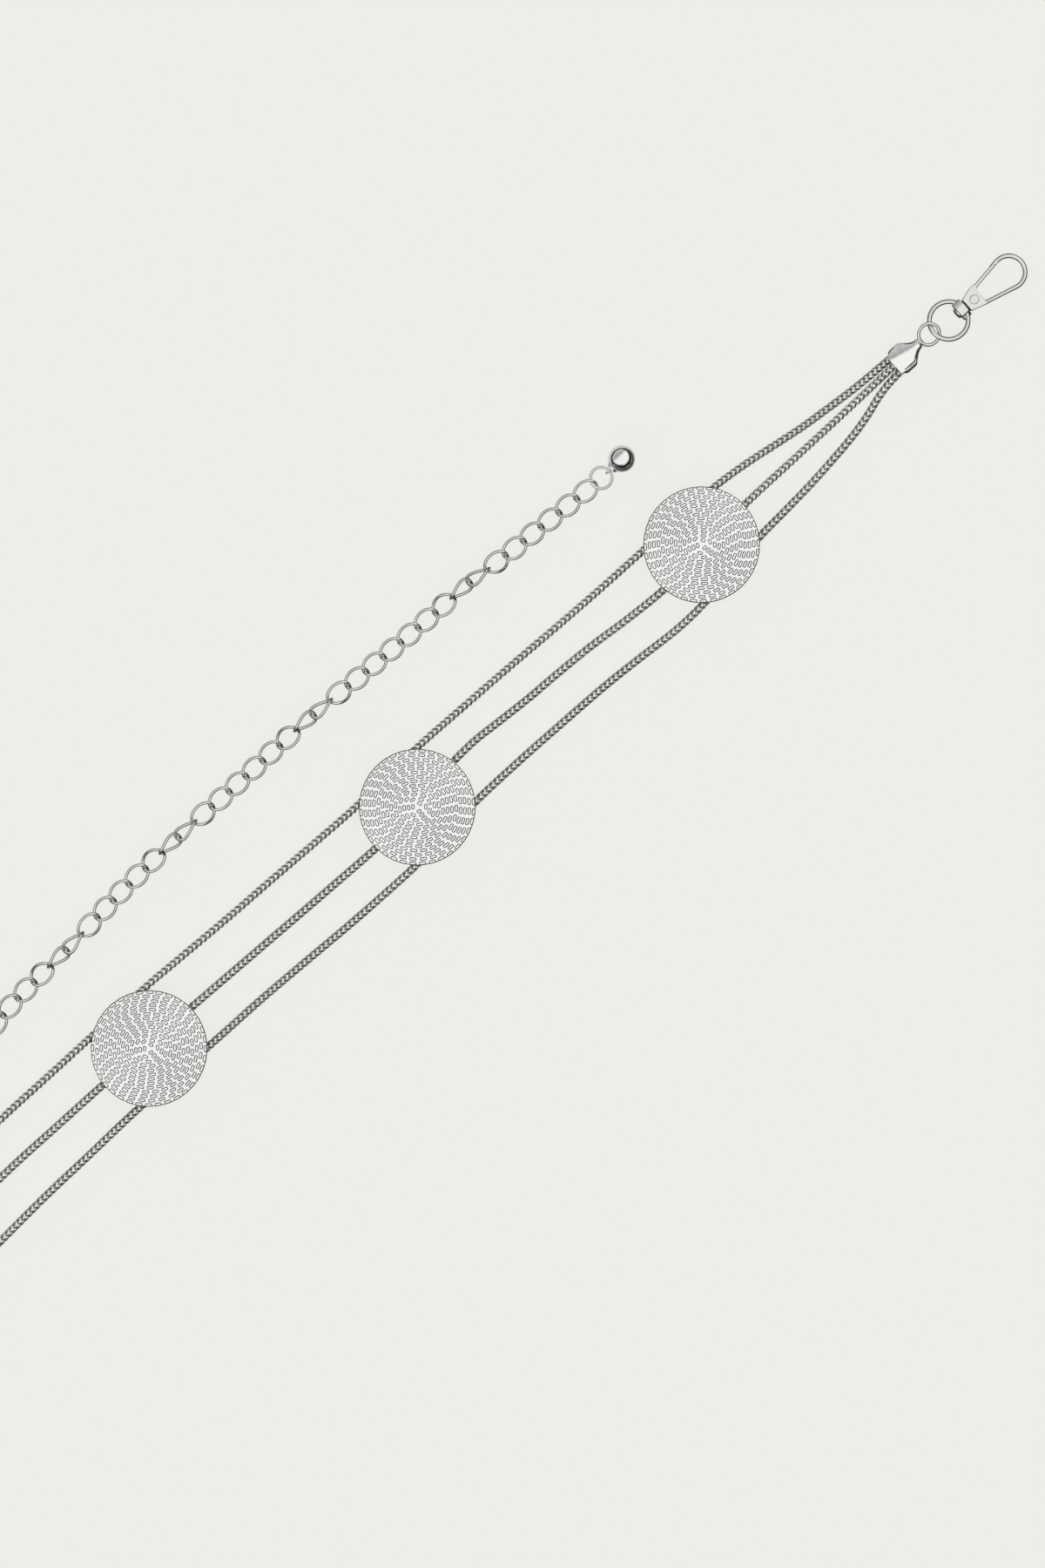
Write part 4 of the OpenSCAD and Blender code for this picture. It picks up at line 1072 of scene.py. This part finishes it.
def make_stage():
    """The pale floor. The camera sees it almost without shade, and the metal sees a dark bench, with the
    belt's own shadow on it and a round white card that reaches from under the ball to its +Y side."""
    mesh = bpy.data.meshes.new("floor")
    half = 6.0
    corners = [(-half, -half, 0), (half, -half, 0), (half, half, 0), (-half, half, 0)]
    mesh.from_pydata(corners, [], [(0, 1, 2, 3)])
    floor = bpy.data.objects.new("floor", mesh)
    bpy.context.scene.collection.objects.link(floor)
    paint = bpy.data.materials.new("floor_paint")
    paint.use_nodes = True
    tree = paint.node_tree
    tree.nodes.remove(tree.nodes["Principled BSDF"])
    glow = put(tree, "Emission", {"Color": FLOOR, "Strength": 1.04})
    matt = put(tree, "BsdfDiffuse", {"Color": FLOOR})
    pale = put(tree, "MixShader", {"Fac": 0.1, 1: glow.outputs[0], 2: matt.outputs[0]})
    place = put(tree, "TexCoord").outputs["Object"]
    off_card = put(tree, "VectorMath", {0: place, 1: CARD_AT}, operation="DISTANCE").outputs["Value"]
    bench = put(tree, "BsdfDiffuse", {"Color": carried(tree, off_card, *CARD_FADE, CARD_WHITE, BENCH_GREY)})
    seen = camera_sees(tree, pale.outputs[0], bench.outputs[0])
    tree.links.new(seen, tree.nodes["Material Output"].inputs["Surface"])
    mesh.materials.append(paint)


def make_light():
    """A wide soft light overhead that reaches lower on the +Y side and falls off to dark, and a panel low on
    that side. The camera sees the surroundings as pale as the floor."""
    world = bpy.data.worlds.new("studio")
    bpy.context.scene.world = world
    world.use_nodes = True
    tree = world.node_tree
    way = put(tree, "SeparateXYZ", {"Vector": put(tree, "TexCoord").outputs["Generated"]}).outputs
    height = worked_out(tree, "MULTIPLY_ADD", way["Y"], 0.35, way["Z"])
    overhead = put(tree, "ValToRGB", {"Fac": height})
    overhead.color_ramp.interpolation = "EASE"
    stops = overhead.color_ramp.elements
    stops[0].position, stops[0].color = 0.0, (0.02, 0.02, 0.02, 1)
    stops[1].position, stops[1].color = 1.0, (1.0, 1.0, 1.0, 1)
    for place, glare in ((0.12, 0.03), (0.25, 0.35), (0.4, 1.0)):
        stops.new(place).color = (glare, glare, glare, 1)
    shade = carried(tree, way["Y"], 0.2, 0.7, 1.0, 0.42)
    dimmed = worked_out(tree, "MULTIPLY", overhead.outputs["Color"], shade)
    sideways = carried(tree, way["Y"], 0.3, 0.8, 0.0, 0.6)
    panel = worked_out(tree, "MULTIPLY", sideways, carried(tree, way["Z"], 0.5, 0.25, 0.0, 1.0))
    glow = tree.nodes["Background"]
    glow.inputs["Color"].default_value = (1, 1, 0.99, 1)
    tree.links.new(worked_out(tree, "MAXIMUM", dimmed, panel), glow.inputs["Strength"])
    pale = put(tree, "Background", {"Color": FLOOR})
    seen = camera_sees(tree, pale.outputs[0], glow.outputs[0])
    tree.links.new(seen, tree.nodes["World Output"].inputs["Surface"])
    bpy.context.scene.view_settings.view_transform = "Standard"


def make_camera():
    """Straight overhead, turned so that the belt runs down the picture's slope, 540 mm in the height."""
    lens = bpy.data.cameras.new("overhead")
    lens.lens = CAMERA_LENS
    lens.sensor_width = 36
    lens.clip_end = 50
    camera = bpy.data.objects.new("overhead", lens)
    camera.location = CAMERA_AT
    camera.rotation_euler = (0, 0, math.radians(CAMERA_TURN))
    bpy.context.scene.collection.objects.link(camera)
    bpy.context.scene.camera = camera


make_camera()
make_light()
make_stage()

groups = handling_marks(), painted_recess_shade()
# Each metal's dark value is the colour of its painted shade in recesses, pits and creases
disc_metal = metal("disc_silver", groups, (0.97, 0.97, 0.965), dark=0.05, rough=0.16, scratches=0.25)
strand_metal = metal(
    "strand_silver", groups, (0.98, 0.98, 0.97), dark=0.15, rough=0.36, scratches=0.2, metallic=0.85
)
cap_metal = metal(
    "cap_silver", groups, (0.93, 0.93, 0.92), dark=0.03, rough=0.12, scratches=0.3, dents=0.00022
)
clasp_metal = metal("clasp_silver", groups, (0.78, 0.78, 0.77), dark=0.08, rough=0.1, scratches=0.3)
link_metal = metal("link_silver", groups, (0.76, 0.76, 0.75), dark=0.08, rough=0.1, scratches=0.2)
ball_metal = metal(
    "ball_silver", groups, (0.9, 0.9, 0.9), dark=0.1, rough=0.04, scratches=0.1, spread=0.05, dents=0.00022
)

rng = np.random.default_rng(SEED)
runs = [strand_run(ROUTE_UPPER, 1), strand_run(ROUTE_MIDDLE, 0), strand_run(ROUTE_LOWER, -1)]
for name, run, rolls in zip(("upper", "middle", "lower"), runs, (ROLL_UPPER, ROLL_MIDDLE, ROLL_LOWER)):
    make_strand("strand_" + name, run, rolls, strand_metal, rng)
for number in range(1, len(DISCS) + 1):
    make_disc(number, runs, disc_metal, rng)
make_links(link_metal, rng)
make_rings(clasp_metal, link_metal)
make_ball(ball_metal)
make_caps(cap_metal)
make_swivel(clasp_metal)
make_hook(clasp_metal)
make_gate(clasp_metal)
